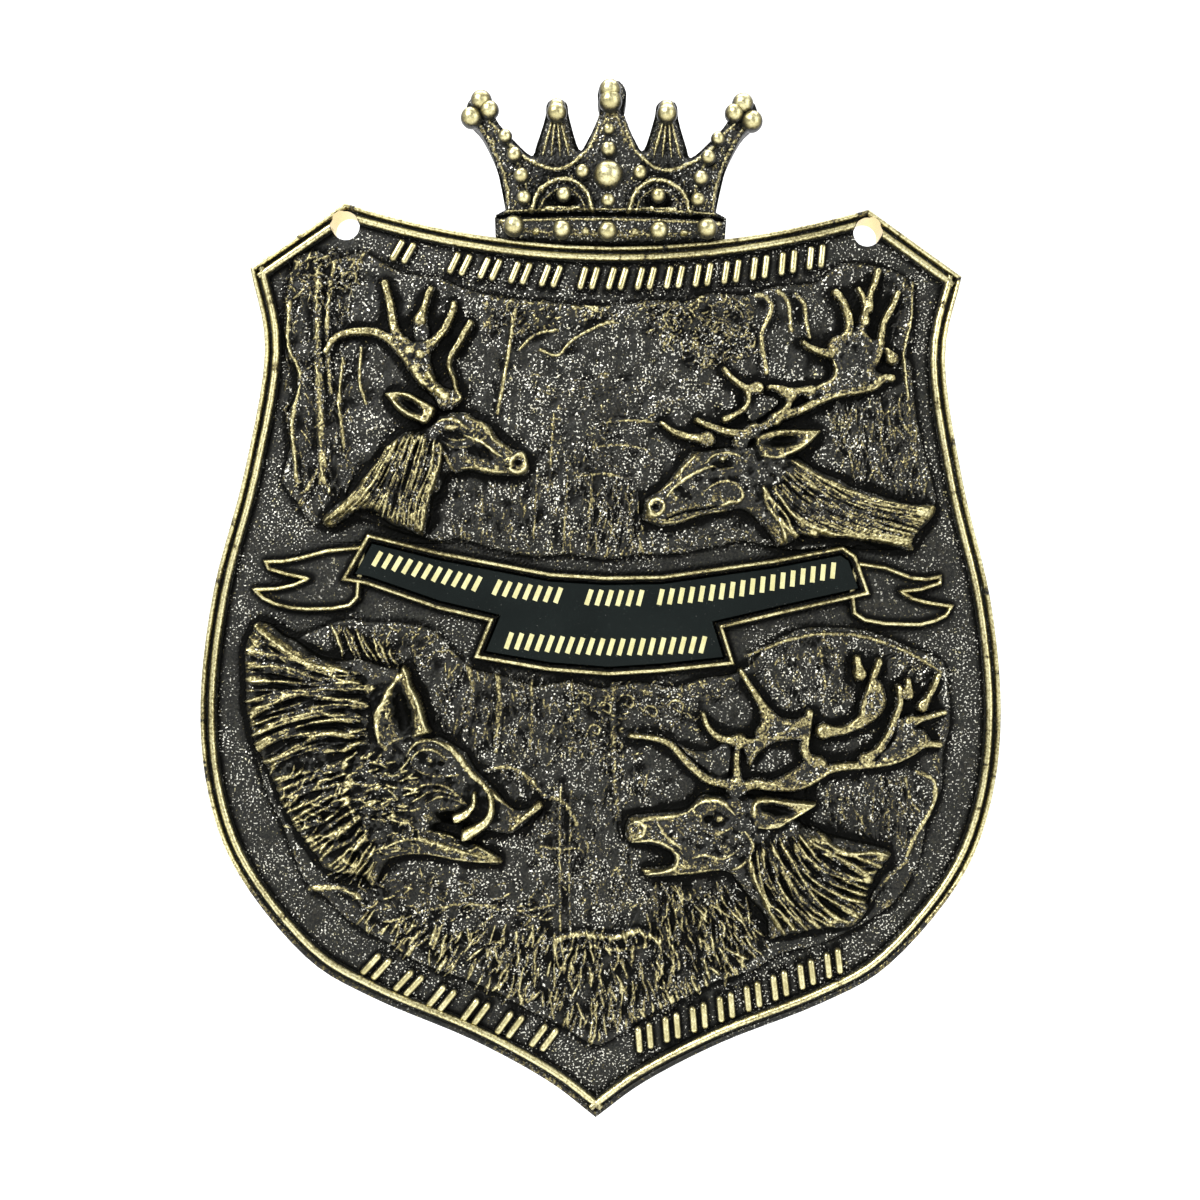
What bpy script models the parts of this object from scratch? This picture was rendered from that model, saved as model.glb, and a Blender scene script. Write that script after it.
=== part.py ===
"""Heraldic shield plaque: one brass casting with hunting reliefs, and a thin inscription plate.

Sizes are in millimetres and are turned into metres as each mesh is made. X runs to the right
as the plaque is seen from the front, Z runs up, and the face looks along -Y. The flat back is
the plane y = 0, and the origin lies there, midway between the two hanging holes.
"""
import math

import bmesh
import bpy
import numpy as np
from mathutils import Vector
from mathutils.geometry import delaunay_2d_cdt

MM = 0.001

# Thickness of the casting, measured forward from its back
GROUND = 4.7
FIELD = 5.3
RIM_TOP = 6.4
RIBBON_LEVEL = 5.6
RIBBON_RIDGE_TOP = 6.6
LETTER_TOP = 5.9
CROWN_EDGE = 5.6
CROWN_SWELL = 2.2
CROWN_RADIUS = 26.0
CROWN_SHOULDER = 1.4

# Width of the slope from the ground up to a field
FIELD_EDGE = 2.4

# The shield and its two hanging holes
HOLE_SPACING = 94.0
HOLE_DIAMETER = 5.0
TOP_SAG = 7.1
SIDE = [(63.9, -8.0), (61.1, -23.0), (64.6, -45.0), (69.8, -66.0), (71.9, -86.0),
        (70.2, -102.8), (64.6, -117.0), (52.5, -131.6), (40.3, -138.8), (22.6, -146.0),
        (8.9, -153.2)]
PEAK_HEIGHT = 3.9
TIP = (0.0, -159.8)
RIM_BED = 5.5
RIM_WIDTH = 2.8
OUTER_BEAD_INSET = 0.5
OUTER_BEAD_RADIUS = 0.5
INNER_BEAD_INSET = 2.1
INNER_BEAD_RADIUS = 0.65
RIM_LINES = (0.5, 1.0, 1.45, 2.1, 2.75)
HOLE_SIDES = 16
PEARL_SIDES = 8

# The crown, ribbon and lettering sit a little to the right of the middle of the holes
CENTRE = 0.7
CROWN_FOOT = -6.0

# The ribbon's panel, its frame and the plate in it
RIDGE_WIDTH = 0.9
RECESS_FLOOR = 4.8
PLATE_GAP = 0.3
PLATE_THICKNESS = 0.7
PLATE_INSET = 1.2

# The face's triangles are placed where they are needed most, from heights on a fine grid
GRID_STEP = 0.5
FACE_TRIANGLES = 9200
FIRST_SPACING = 12.0
KEEP_CLEAR = 0.3
LEAST_MISS = 0.04
NUDGE = 0.04
OUTLINE_STEPS = 1
EDGE_SHARE = 0.3
SHARP_ANGLE = 35.0


def smooth(points, closed=False, steps=4):
    """Points along the smooth curve through the given points."""
    pts = np.asarray(points, float)
    if closed:
        pts = np.vstack([pts[-1:], pts, pts[:2]])
    else:
        pts = np.vstack([2 * pts[:1] - pts[1:2], pts, 2 * pts[-1:] - pts[-2:-1]])
    t = np.linspace(0, 1, steps, endpoint=False)[:, None]
    runs = []
    for a, b, c, d in zip(pts, pts[1:], pts[2:], pts[3:]):
        runs.append(0.5 * (2 * b + (c - a) * t + (2 * a - 5 * b + 4 * c - d) * t ** 2
                           + (3 * b - a - 3 * c + d) * t ** 3))
    curve = np.vstack(runs)
    return curve if closed else np.vstack([curve, pts[-2:-1]])


def offset(points, distance):
    """A closed outline moved inwards by a distance, corner by corner."""
    pts = np.asarray(points, float)
    before, after = np.roll(pts, 1, 0) - pts, np.roll(pts, -1, 0) - pts
    before /= np.linalg.norm(before, axis=1)[:, None]
    after /= np.linalg.norm(after, axis=1)[:, None]
    area = np.sum(pts[:, 0] * np.roll(pts[:, 1], -1) - pts[:, 1] * np.roll(pts[:, 0], -1))
    normal = np.stack([-after[:, 1], after[:, 0]], 1) * math.copysign(1, area)
    other = np.stack([before[:, 1], -before[:, 0]], 1) * math.copysign(1, area)
    middle = normal + other
    middle /= np.maximum(np.sum(middle * normal, axis=1), 0.5)[:, None]
    return pts + middle * distance


def shifted(points, dx=CENTRE):
    """Points moved to the right by the crown's and ribbon's shift."""
    return [(x + dx, z) for x, z in points]


def mirrored(half):
    """A right half outline, top to bottom, closed by its mirror image."""
    return list(half) + [(-x, z) for x, z in reversed(half) if x > 0]


def shield_outline():
    """The shield: a hollow top edge, clipped shoulders and a pointed base."""
    half_span = HOLE_SPACING / 2
    top = [(half_span * k / 6, PEAK_HEIGHT - TOP_SAG * (1 - (k / 6) ** 2)) for k in range(7)]
    side = smooth(SIDE + [TIP], steps=3)[:-1]
    return mirrored(top + [tuple(p) for p in side] + [TIP])


class Relief:
    """The height of the casting's face above its back, over a grid of x and z."""

    def __init__(self, x, z, level):
        self.x, self.z = x, z
        self.h = np.full(x.shape, level, float)
        self.noting, self.lines = False, []

    def keep_line(self, line, read_at=None, closed=False):
        """Notes a line that the triangles are to follow, and where its height is read."""
        self.lines.append((line, line if read_at is None else read_at, closed))

    def everywhere(self):
        """All of the grid, or of a list of places."""
        return tuple(slice(None) for _ in self.x.shape)

    def window(self, points, reach):
        """The part of the grid, or of a list of places, that lies near the points."""
        pts = np.asarray(points, float)
        low, high = pts.min(0) - reach, pts.max(0) + reach
        inside = (self.x >= low[0]) & (self.x <= high[0])
        inside &= (self.z >= low[1]) & (self.z <= high[1])
        if not inside.any():
            return None
        if self.x.ndim == 1:
            return np.flatnonzero(inside)
        rows, columns = np.flatnonzero(inside.any(1)), np.flatnonzero(inside.any(0))
        return slice(rows[0], rows[-1] + 1), slice(columns[0], columns[-1] + 1)

    def along(self, points, part):
        """Distance to a path, and how far along it the nearest point lies, from 0 to 1."""
        x, z = self.x[part], self.z[part]
        pts = np.asarray(points, float)
        lengths = np.linalg.norm(np.diff(pts, axis=0), axis=1)
        total, start = max(lengths.sum(), 1e-6), 0.0
        best = np.full(x.shape, np.inf)
        where = np.zeros(x.shape)
        for a, b, length in zip(pts, pts[1:], lengths):
            run = b - a
            t = ((x - a[0]) * run[0] + (z - a[1]) * run[1]) / max(length ** 2, 1e-9)
            t = np.clip(t, 0, 1)
            d = np.hypot(x - a[0] - t * run[0], z - a[1] - t * run[1])
            nearer = d < best
            best[nearer] = d[nearer]
            where[nearer] = ((start + t * length) / total)[nearer]
            start += length
        return best, where

    def stroke(self, points, width, top, tip=None, level=None, steps=3):
        """A round raised stroke: its top above the face, or above a level; it tapers to tip."""
        path = smooth(points, steps=steps)
        tip = width if tip is None else tip
        if self.noting:
            self.note_stroke(points, width, tip, 1 if level is None else 2)
        part = self.window(path, width)
        if part is None:
            return
        d, t = self.along(path, part)
        half = (width + (tip - width) * t) / 2
        round_over = np.sqrt(np.clip(1 - (d / half) ** 2, 0, 1))
        if level is None:
            self.h[part] += top * round_over ** 2
        else:
            raised = level + (top - level) * round_over * (0.55 + 0.45 * half * 2 / width)
            self.h[part] = np.where(d < half, np.maximum(self.h[part], raised), self.h[part])

    def note_stroke(self, points, width, tip, steps):
        """Keeps a stroke's crest and its two feet as lines."""
        crest = smooth(points, steps=steps)
        along = np.gradient(crest, axis=0)
        across = np.stack([-along[:, 1], along[:, 0]], 1)
        across /= np.linalg.norm(across, axis=1)[:, None]
        half = np.linspace(width, tip, len(crest))[:, None] / 2
        self.keep_line(crest)
        for side in (-1, 1):
            self.keep_line(crest + side * half * across,
                           crest + side * (half + NUDGE) * across)

    def inside_distance(self, outline, part):
        """Distance inwards from a closed outline, negative outside it."""
        x, z = self.x[part], self.z[part]
        ring = np.vstack([outline, outline[:1]])
        d, _ = self.along(ring, part)
        crossed = np.zeros(x.shape, bool)
        for (ax, az), (bx, bz) in zip(ring, ring[1:]):
            if az != bz:
                spans = (az > z) != (bz > z)
                crossed ^= spans & (x < ax + (z - az) * (bx - ax) / (bz - az))
        return np.where(crossed, d, -d)

    def form(self, outline, level, rise, round_width, smooth_steps=3):
        """A pillow-like form with a rounded edge, raised above a level."""
        ring = smooth(outline, closed=True, steps=smooth_steps) if smooth_steps else \
            np.asarray(outline, float)
        if self.noting and smooth_steps:
            coarse = smooth(outline, closed=True, steps=OUTLINE_STEPS)
            self.keep_line(coarse, offset(coarse, -NUDGE), closed=True)
            self.keep_line(offset(coarse, EDGE_SHARE * round_width), closed=True)
        part = self.window(ring, 0.0)
        if part is None:
            return
        d = self.inside_distance(ring, part)
        edge = np.sqrt(np.clip(1 - (1 - np.clip(d / round_width, 0, 1)) ** 2, 0, 1))
        raised = level + rise * edge
        self.h[part] = np.where(d > 0, np.maximum(self.h[part], raised), self.h[part])

    def swell(self, centre, size, amount, turn=0.0):
        """A soft oval swelling, or a hollow where the amount is negative."""
        part = self.window([centre], max(size))
        if part is None:
            return
        c, s = math.cos(math.radians(turn)), math.sin(math.radians(turn))
        dx, dz = self.x[part] - centre[0], self.z[part] - centre[1]
        u, v = (dx * c + dz * s) / size[0], (dz * c - dx * s) / size[1]
        self.h[part] += amount * np.clip(1 - u ** 2 - v ** 2, 0, 1) ** 1.5

    def pearl(self, centre, radius):
        """A round pearl that stands on the face."""
        if self.noting:
            ring = ring_points(centre, radius, PEARL_SIDES)
            self.keep_line(ring, ring_points(centre, radius + NUDGE, PEARL_SIDES), closed=True)
            self.keep_line(np.array([centre]), closed=False)
        part = self.window([centre], radius)
        if part is None:
            return
        d = np.hypot(self.x[part] - centre[0], self.z[part] - centre[1])
        nearest = np.where(d < radius, self.h[part], 0).max()
        dome = nearest + 0.7 * np.sqrt(np.clip(radius ** 2 - d ** 2, 0, None))
        self.h[part] = np.where(d < radius, np.maximum(self.h[part], dome), self.h[part])

    def locks(self, first, last, count, width, top, tip=None):
        """A row of hair locks that turns from the first lock into the last."""
        a, b = smooth(first, steps=2), smooth(last, steps=2)
        for k in range(count):
            blend = k / max(count - 1, 1)
            lock = a * (1 - blend) + b * blend
            self.stroke(lock[::2], width, top, tip)


# Antlers are lists of tines: each is a smooth stroke, thick end last
STAG_OUTLINE = [(-25, -33.3), (-21.6, -34.9), (-19, -37.7), (-15.8, -39.9), (-14, -40.4),
                (-13.3, -43.6), (-14.8, -44.8), (-19.9, -44.9), (-24.3, -44.1),
                (-27.5, -44.6), (-29.3, -47.7), (-30.8, -51.5), (-32.2, -55.6), (-35.2, -54.6),
                (-39, -53), (-41.6, -51.2), (-45.2, -52.1), (-49.8, -54.3), (-50, -52.4),
                (-45.5, -48.3), (-41.9, -43.9), (-39, -39.8), (-36, -37.2), (-32.8, -36.3),
                (-29.5, -33.8)]
STAG_ANTLERS = [[(-50, -22.8), (-48.5, -20.5), (-46, -19.4), (-42, -19.2), (-38.5, -20.8),
                 (-36, -23.2), (-33.5, -24.8)],
                [(-39.6, -10.5), (-38.5, -14.8), (-38, -18.2), (-36.5, -22.4)],
                [(-31.3, -11.4), (-32.4, -14.6), (-34.2, -19.3), (-34.5, -22.5)],
                [(-27.2, -14.1), (-28.1, -17.1), (-30.4, -20.5), (-33.8, -22.6)],
                [(-24.2, -17.5), (-26.5, -21.6), (-27.9, -25.3), (-26.5, -29.6), (-27.4, -32.2)],
                [(-36, -21.5), (-33.5, -24.5), (-31.8, -28), (-28.3, -31.6)]]
STAG_EAR = [(-39.4, -30.4), (-37.5, -29.8), (-34.9, -30.1), (-32.2, -31.5), (-29.7, -33.2),
            (-31.6, -36.1), (-34, -35.2), (-36.8, -33.6), (-38.6, -31.5)]

BUCK_OUTLINE = [(24.4, -38.8), (18, -39.6), (15, -40.6), (12.4, -44), (8.6, -47.8),
                (7.1, -49.5), (7.2, -52.3), (9.6, -53.4), (13, -53.3), (18, -51.4),
                (24.4, -50.4), (27.5, -52.2), (31.6, -56.8), (35.6, -54.9), (43.6, -55.2),
                (55.8, -57.2), (56.4, -54.6), (59.4, -50.5), (59.2, -48.9), (52.4, -48),
                (45.2, -46), (38.8, -43.2), (34.4, -40.4), (29, -38.4)]
BUCK_PALM = [(34.6, -28.9), (36.7, -28.5), (38.5, -27.4), (40.3, -25.8), (40.4, -23.1),
             (39.6, -21.4), (42.4, -20.2), (44.3, -17.4), (46.4, -16.2), (47.4, -19),
             (49.2, -19.8), (49.2, -21.4), (48.6, -24.4), (50.6, -26.4), (48.1, -28),
             (44, -28.9), (40.5, -29.9), (36.5, -30.8)]
BUCK_ANTLERS = [[(10.3, -34.9), (12.4, -36.4), (14.9, -37.3), (19.5, -37.8)],
                [(16.7, -34.4), (19.2, -35.5), (22.1, -36.4), (26.4, -36.4)],
                [(51.4, -26.4), (48.1, -28), (41.7, -29.4), (35.6, -32.1), (31, -33.9),
                 (26.4, -36.4), (24.5, -38.6)],
                [(29.6, -28.3), (32.4, -28.9), (33.1, -30.3), (31.6, -33.8)],
                [(34.6, -28.9), (33, -29.6)],
                [(35.6, -20.3), (37.4, -21.4), (40, -22)],
                [(41.2, -11.2), (43.1, -14.2), (43.7, -17), (42.4, -20.4)],
                [(45.3, -10.6), (46.4, -13.5), (46.8, -18.5)],
                [(48.7, -7.4), (47.6, -11), (47.4, -14.5)],
                [(52.3, -11.2), (50.2, -15.4), (49.4, -19.2), (48.8, -23.5)],
                [(21.4, -25.1), (23.5, -27.4), (27.4, -28.5), (25.6, -31), (22.5, -34.6)]]
BUCK_EAR = [(26.8, -37.8), (30, -36), (34, -35.7), (38.8, -35.9), (36.6, -38.8),
            (33.6, -40.6), (30.4, -41.2), (27.4, -40.4)]

BOAR_OUTLINE = [(-61.9, -71.8), (-57.1, -73.7), (-51.9, -76.6), (-46.5, -78), (-38.7, -79.1),
                (-34.5, -80.4), (-31.4, -86.9), (-28.6, -91.6), (-23.8, -94.6),
                (-20.1, -99.3), (-15.3, -104.3), (-10.8, -103.8), (-15.6, -108.6),
                (-21.6, -108.5), (-26.5, -106), (-30, -108.4), (-21.6, -110.9),
                (-17.1, -113.9), (-25.2, -114.1), (-34.5, -113), (-38.5, -115),
                (-40.4, -118.9), (-45, -116.6), (-50.4, -113.7), (-55, -108.5),
                (-60.4, -97), (-62.8, -90.2), (-64, -80)]
BOAR_EAR = [(-35.5, -78.8), (-38.7, -83.1), (-40.6, -88.5), (-40.1, -92.3), (-38.2, -94.6),
            (-34.5, -92.5), (-30.1, -91), (-31.4, -86.9), (-33.6, -82.3)]
BOAR_TUSKS = [[(-22.3, -102), (-23, -104.1), (-25.4, -106.4)],
              [(-19.7, -102), (-19.6, -105), (-21, -107.4), (-23.8, -109)]]

ROAR_OUTLINE = [(20, -101.2), (16.3, -103.2), (11.1, -104.5), (5.6, -105.4), (4.6, -107.8),
                (5.9, -110.2), (9.5, -110.7), (13, -112.6), (11.9, -114.2), (7.6, -115),
                (8.9, -116.3), (14.8, -116), (20.7, -115.2), (24.4, -116.5), (27.8, -121),
                (30.9, -127.3), (36.3, -126.1), (43.7, -125.2), (47.4, -123.2),
                (48.3, -119.5), (52.6, -111.7), (46.3, -109.5), (40, -108), (35.2, -105.2),
                (29, -102), (24.5, -101.4)]
ROAR_ANTLERS = [[(5.4, -91.1), (9.2, -91.4), (12.4, -92.4), (16.8, -96.8), (19.6, -98.8),
                 (25.2, -99.8)],
                [(18.4, -87), (21.2, -91.2), (24.7, -92.2), (24.5, -96), (24.8, -100.6)],
                [(25, -79.2), (28.8, -85.2), (29.4, -90.4), (26, -91.8)],
                [(37.4, -86.6), (36.7, -92.8), (38.6, -96.8)],
                [(60.8, -92), (55.6, -93.6), (49.2, -95.6), (41.2, -96.8), (34.8, -99.8),
                 (27.6, -99.4), (24, -101.6)],
                [(53.4, -81.8), (52.6, -87.6), (50, -92.8), (49.5, -95.4)],
                [(49.8, -77.2), (47.2, -85.2), (44, -89.5), (40, -90.2), (38, -89)],
                [(60.4, -79.6), (57.6, -85.2), (55.4, -89.5), (55, -93.6)],
                [(61.6, -86.2), (58, -87.2), (54.8, -90)],
                [(45.8, -76.8), (46.9, -80.5), (47.6, -84)]]
ROAR_EAR = [(27.4, -102.1), (29.6, -101.5), (33.3, -101.9), (38.9, -102.6), (37, -104.3),
            (34.1, -106), (31.5, -107.1), (28.1, -107.1), (26.8, -104.6)]

UPPER_FIELD = [(-56, -6.5), (-44, -5), (-34, -9), (-22, -12), (0, -14), (22, -12.4),
               (38, -9), (44, -5.5), (54, -8), (55.5, -22), (58, -40), (59, -50),
               (55, -57), (33, -57), (20, -57.5), (0, -59.5), (-20, -58), (-34, -56),
               (-45, -53), (-54, -52), (-58, -44), (-57, -24)]
LOWER_FIELD = [(-53, -117), (-45, -125), (-25, -135), (0, -147), (22, -135), (45, -126),
               (58, -112), (63, -90), (62, -77), (48, -72), (33, -73), (24, -79),
               (0, -82), (-20, -80), (-32, -72), (-48, -71), (-60, -76), (-62, -96)]

# Trunks and boughs behind the heads, each with its width at the foot
TREES = [([(-50.5, -9), (-50.8, -25), (-50.4, -38), (-51.5, -47)], 2.6),
         ([(-46.8, -24), (-47, -36), (-46.2, -47)], 1.6),
         ([(-17.8, -14), (-18, -24), (-18.3, -35)], 1.8),
         ([(-6, -13), (-12, -17), (-17.6, -22)], 1.1),
         ([(27.1, -11.7), (29.8, -14), (28.2, -20), (28.9, -27)], 1.4),
         ([(31, -11), (33, -14), (33.3, -18)], 1.2), ([(34.2, -11.5), (36.2, -15), (36.7, -20)], 1.2),
         ([(-6.4, -84), (-6.9, -100), (-6.4, -124)], 1.6),
         ([(2.4, -84), (2.2, -94), (3.2, -104)], 1.3)]

RIBBON = [(-42.7, -55.8), (-30, -58.8), (-10, -62.4), (0, -62.9), (10, -62.6), (30, -59.5),
          (42.3, -57), (44.5, -58.5), (46.9, -65), (32, -68.5), (20.7, -71.3),
          (22.8, -77.8), (10, -79.3), (0.7, -80), (-10, -79.3), (-23.1, -77.2),
          (-20.5, -70.6), (-30, -68.5), (-43, -64.2), (-47, -63.6)]
LEFT_TAIL = [(-46.2, -58.4), (-55, -60), (-61, -60.7), (-60.5, -61.9), (-53.3, -63.6),
             (-57, -65), (-63, -65.7), (-59.3, -68.2), (-53.5, -69.1), (-46, -68.3),
             (-44.4, -64.8)]
RIGHT_TAIL = [(45.7, -59.8), (54.8, -62.2), (59.8, -61.9), (59, -63.6), (52.8, -64.6),
              (57.3, -66.5), (61.9, -67.2), (59, -69.8), (54, -70.5), (46.5, -69.8),
              (44.4, -66.5)]

# The crown's right side, from its foot to its top; the left side mirrors it
CROWN_FOOT_HALF = 20.6
CROWN_HALF = [(20.8, 2.0), (18.9, 3.0), (19.7, 7.0), (21.0, 12.0), (23.6, 17.2), (26.0, 20.0),
              (25.6, 22.6), (23.4, 23.4), (21.6, 21.8), (20.6, 19.0), (18.0, 16.0),
              (14.4, 12.8), (13.4, 14.8), (12.0, 19.4), (11.6, 22.2), (9.9, 23.1),
              (8.1, 22.2), (7.6, 19.6), (5.8, 14.0), (4.3, 15.6), (2.2, 20.4), (2.6, 24.0),
              (1.6, 26.1), (0.0, 26.6)]
CROWN_PEARLS = [(0.0, 24.0, 2.2), (9.9, 21.2, 1.9), (24.0, 21.0, 2.2), (8.8, 0.0, 1.6),
                (17.3, 0.0, 1.6), (0.0, 0.0, 1.6), (0.0, 17.9, 0.9), (0.0, 14.3, 1.1),
                (0.0, 9.8, 2.1), (5.2, 10.2, 1.1), (0.0, 5.1, 1.0), (19.1, 16.4, 1.0),
                (17.4, 13.0, 1.0), (16.1, 9.2, 1.0), (15.6, 5.3, 1.0), (8.6, 6.0, 1.1)]

# Rows of raised strokes: centre, how far each place is from the next, and how tall
TOP_ROW_HEIGHT = -9.0
TOP_ROW_BEND = 318.0
TOP_ROW_RUNS = [(-37.2, -37.2, 1), (-27.0, -10.6, 4), (-3.8, 37.0, 9)]
STROKE_TALL = 4.4
STROKE_WIDE = 1.25
STROKE_LEAN = 16.0
STROKE_PITCH = 2.1
STROKE_DRAFT = 0.15
LOWER_LEFT_ROW = [(-39.8, -133.2), (-28.0, -138.8), (-9.5, -145.6)]
LOWER_RIGHT_ROW = [(8.6, -145.4), (26.0, -138.6), (42.4, -131.6)]


def stag(r):
    """The red deer stag at the upper left, looking right."""
    for tine in STAG_ANTLERS:
        r.stroke(tine[::-1], 2.0, FIELD + 2.0, 0.9, level=FIELD)
    r.form(STAG_OUTLINE, FIELD, 2.4, 3.4)
    r.swell((-32.5, -45), (6.5, 9), 0.6, 20)
    r.swell((-21.9, -40.9), (3.2, 1.5), -0.7, -25)
    r.swell((-27.6, -38.0), (3.0, 2.0), -0.4)
    r.swell((-27.4, -36.5), (1.6, 1.1), 0.8)
    r.stroke([(-23.4, -37.3), (-19.9, -40), (-16.4, -41.5)], 1.6, 0.5)
    r.stroke([(-29.3, -39.2), (-28, -42), (-26.6, -44)], 1.2, -0.7)
    r.swell((-15.3, -42.6), (1.2, 0.9), -0.7)
    r.form(STAG_EAR, FIELD, 2.6, 1.2)
    r.swell((-34.6, -32.7), (3.8, 1.4), -1.6, -32)
    r.locks([(-40, -42), (-44.4, -48.6), (-49, -53)], [(-29, -41), (-30.4, -48), (-32.4, -54.4)],
            6, 1.5, 0.7, 0.8)


def buck(r):
    """The fallow buck at the upper right, looking left."""
    for tine in BUCK_ANTLERS:
        r.stroke(tine[::-1], 2.0, FIELD + 2.0, 1.0, level=FIELD)
    r.form(BUCK_PALM, FIELD, 1.9, 1.6)
    r.form(BUCK_OUTLINE, FIELD, 2.4, 3.4)
    r.swell((21.3, -42), (3.2, 1.8), -0.7, 20)
    r.swell((21.3, -41.5), (1.2, 0.8), 0.8)
    r.stroke([(19, -42.6), (15.2, -44.6), (11, -48)], 1.6, 0.4)
    r.swell((22, -47.6), (3.2, 2.2), 0.6)
    r.stroke([(11.2, -52.2), (14, -51), (18, -50.3)], 0.9, -0.6)
    r.swell((9.4, -50), (1.2, 0.9), -0.7)
    r.form(BUCK_EAR, FIELD, 2.8, 1.3)
    r.swell((32.4, -38.3), (4.4, 1.6), -1.7, -8)
    r.locks([(33, -42.5), (44, -46.8), (57, -50)], [(28.5, -46), (31, -51), (36, -54.5)],
            8, 1.5, 0.7, 0.8)


def boar(r):
    """The boar at the lower left, looking right and down."""
    r.form(BOAR_OUTLINE, FIELD, 2.2, 4.0)
    r.swell((-34, -103), (8, 6), 0.7, -20)
    r.stroke([(-28, -93.6), (-22.5, -99.4), (-16.5, -105.2)], 3.0, 0.5)
    r.swell((-27.6, -106.2), (3.2, 1.6), -1.6, -10)
    r.stroke([(-11.2, -103.9), (-15.6, -108.3)], 1.6, 1.0)
    r.swell((-30.6, -95.6), (1.8, 1.1), -0.6, -20)
    r.swell((-30.6, -95.8), (1.0, 0.8), 0.7)
    r.stroke([(-34, -93.6), (-30.3, -92.2), (-26.3, -94.6)], 1.2, 0.6)
    for tusk in BOAR_TUSKS:
        r.stroke(tusk, 1.3, FIELD + 3.2, 0.8, level=FIELD + 0.6)
    r.form(BOAR_EAR, FIELD, 3.2, 1.5)
    r.swell((-35.6, -87), (2.4, 6.2), -1.8, 12)
    r.locks([(-62.5, -77), (-55, -77.6), (-49, -79)], [(-57, -97), (-50, -95.4), (-43, -95)],
            7, 1.9, 0.8, 1.0)
    r.locks([(-43.5, -95), (-46, -101), (-50, -108)], [(-37, -110), (-38.4, -114), (-40.4, -118)],
            5, 1.7, 0.7, 0.8)


def roaring_stag(r):
    """The roaring stag at the lower right, looking left with its mouth open."""
    for tine in ROAR_ANTLERS:
        r.stroke(tine[::-1], 2.0, FIELD + 2.0, 0.9, level=FIELD)
    r.form(ROAR_OUTLINE, FIELD, 2.4, 3.4)
    r.swell((21.3, -105.4), (2.8, 1.7), -0.7)
    r.swell((21.3, -105.4), (1.2, 0.8), 0.9)
    r.stroke([(18, -104.2), (12, -106.2), (7, -107)], 1.7, 0.5)
    r.swell((6.5, -107.8), (1.1, 0.9), -0.7)
    r.stroke([(5.9, -110), (9.6, -109.9), (12.6, -111.2), (13.6, -113.4), (11.4, -115)], 1.1, 0.5)
    r.stroke([(25.9, -107.6), (27.2, -111), (24, -114.7)], 1.2, -0.6)
    r.form(ROAR_EAR, FIELD, 2.8, 1.3)
    r.swell((32.2, -104.2), (4.4, 1.6), -1.7, -12)
    r.locks([(37, -107.5), (44, -111), (51, -112.5)], [(27.5, -112), (29.6, -119), (32, -125.5)],
            8, 1.5, 0.8, 0.8)


def scenery(r):
    """The two raised fields with their trees and grass."""
    r.form(UPPER_FIELD, GROUND, FIELD - GROUND, FIELD_EDGE, smooth_steps=1)
    r.form(LOWER_FIELD, GROUND, FIELD - GROUND, FIELD_EDGE, smooth_steps=1)
    for path, width in TREES:
        r.stroke(path, width * 0.7, 0.7, width)
    for k in range(9):
        x = -20 + 5.2 * k
        foot = -128 - 8 * math.cos(x / 13)
        r.stroke([(x, foot), (x * 1.12, foot + 7)], 1.6, 0.6, 0.8)


def ribbon(r):
    """The ribbon's panel and swallow tails with raised edges, and the plate's recess."""
    for outline in (LEFT_TAIL, RIGHT_TAIL, RIBBON):
        ring = shifted(outline)
        r.form(ring, GROUND, RIBBON_LEVEL - GROUND, 0.4, smooth_steps=0)
        r.stroke(ring + ring[:1], RIDGE_WIDTH, RIBBON_RIDGE_TOP, level=RIBBON_LEVEL - 0.4,
                 steps=1)
    recess = offset(shifted(RIBBON), PLATE_INSET - PLATE_GAP)
    part = r.window(recess, 0.0)
    if part is not None:
        r.h[part] = np.where(r.inside_distance(recess, part) > 0, RECESS_FLOOR, r.h[part])


def top_edge(x):
    """Height of the shield's hollow top edge at x."""
    return PEAK_HEIGHT - TOP_SAG * (1 - (2 * x / HOLE_SPACING) ** 2)


def rim(r):
    """The rim: a raised bed with two beads that follows the shield's outline."""
    outline = np.asarray(shield_outline())
    d = r.inside_distance(outline, r.everywhere())
    r.h[(d > 0) & (d < RIM_WIDTH)] = RIM_BED
    for inset, radius in ((OUTER_BEAD_INSET, OUTER_BEAD_RADIUS),
                          (INNER_BEAD_INSET, INNER_BEAD_RADIUS)):
        bump = np.sqrt(np.clip(1 - ((d - inset) / radius) ** 2, 0, 1))
        r.h[:] = np.maximum(r.h, np.where(bump > 0, RIM_BED + (RIM_TOP - RIM_BED) * bump, 0))


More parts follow.
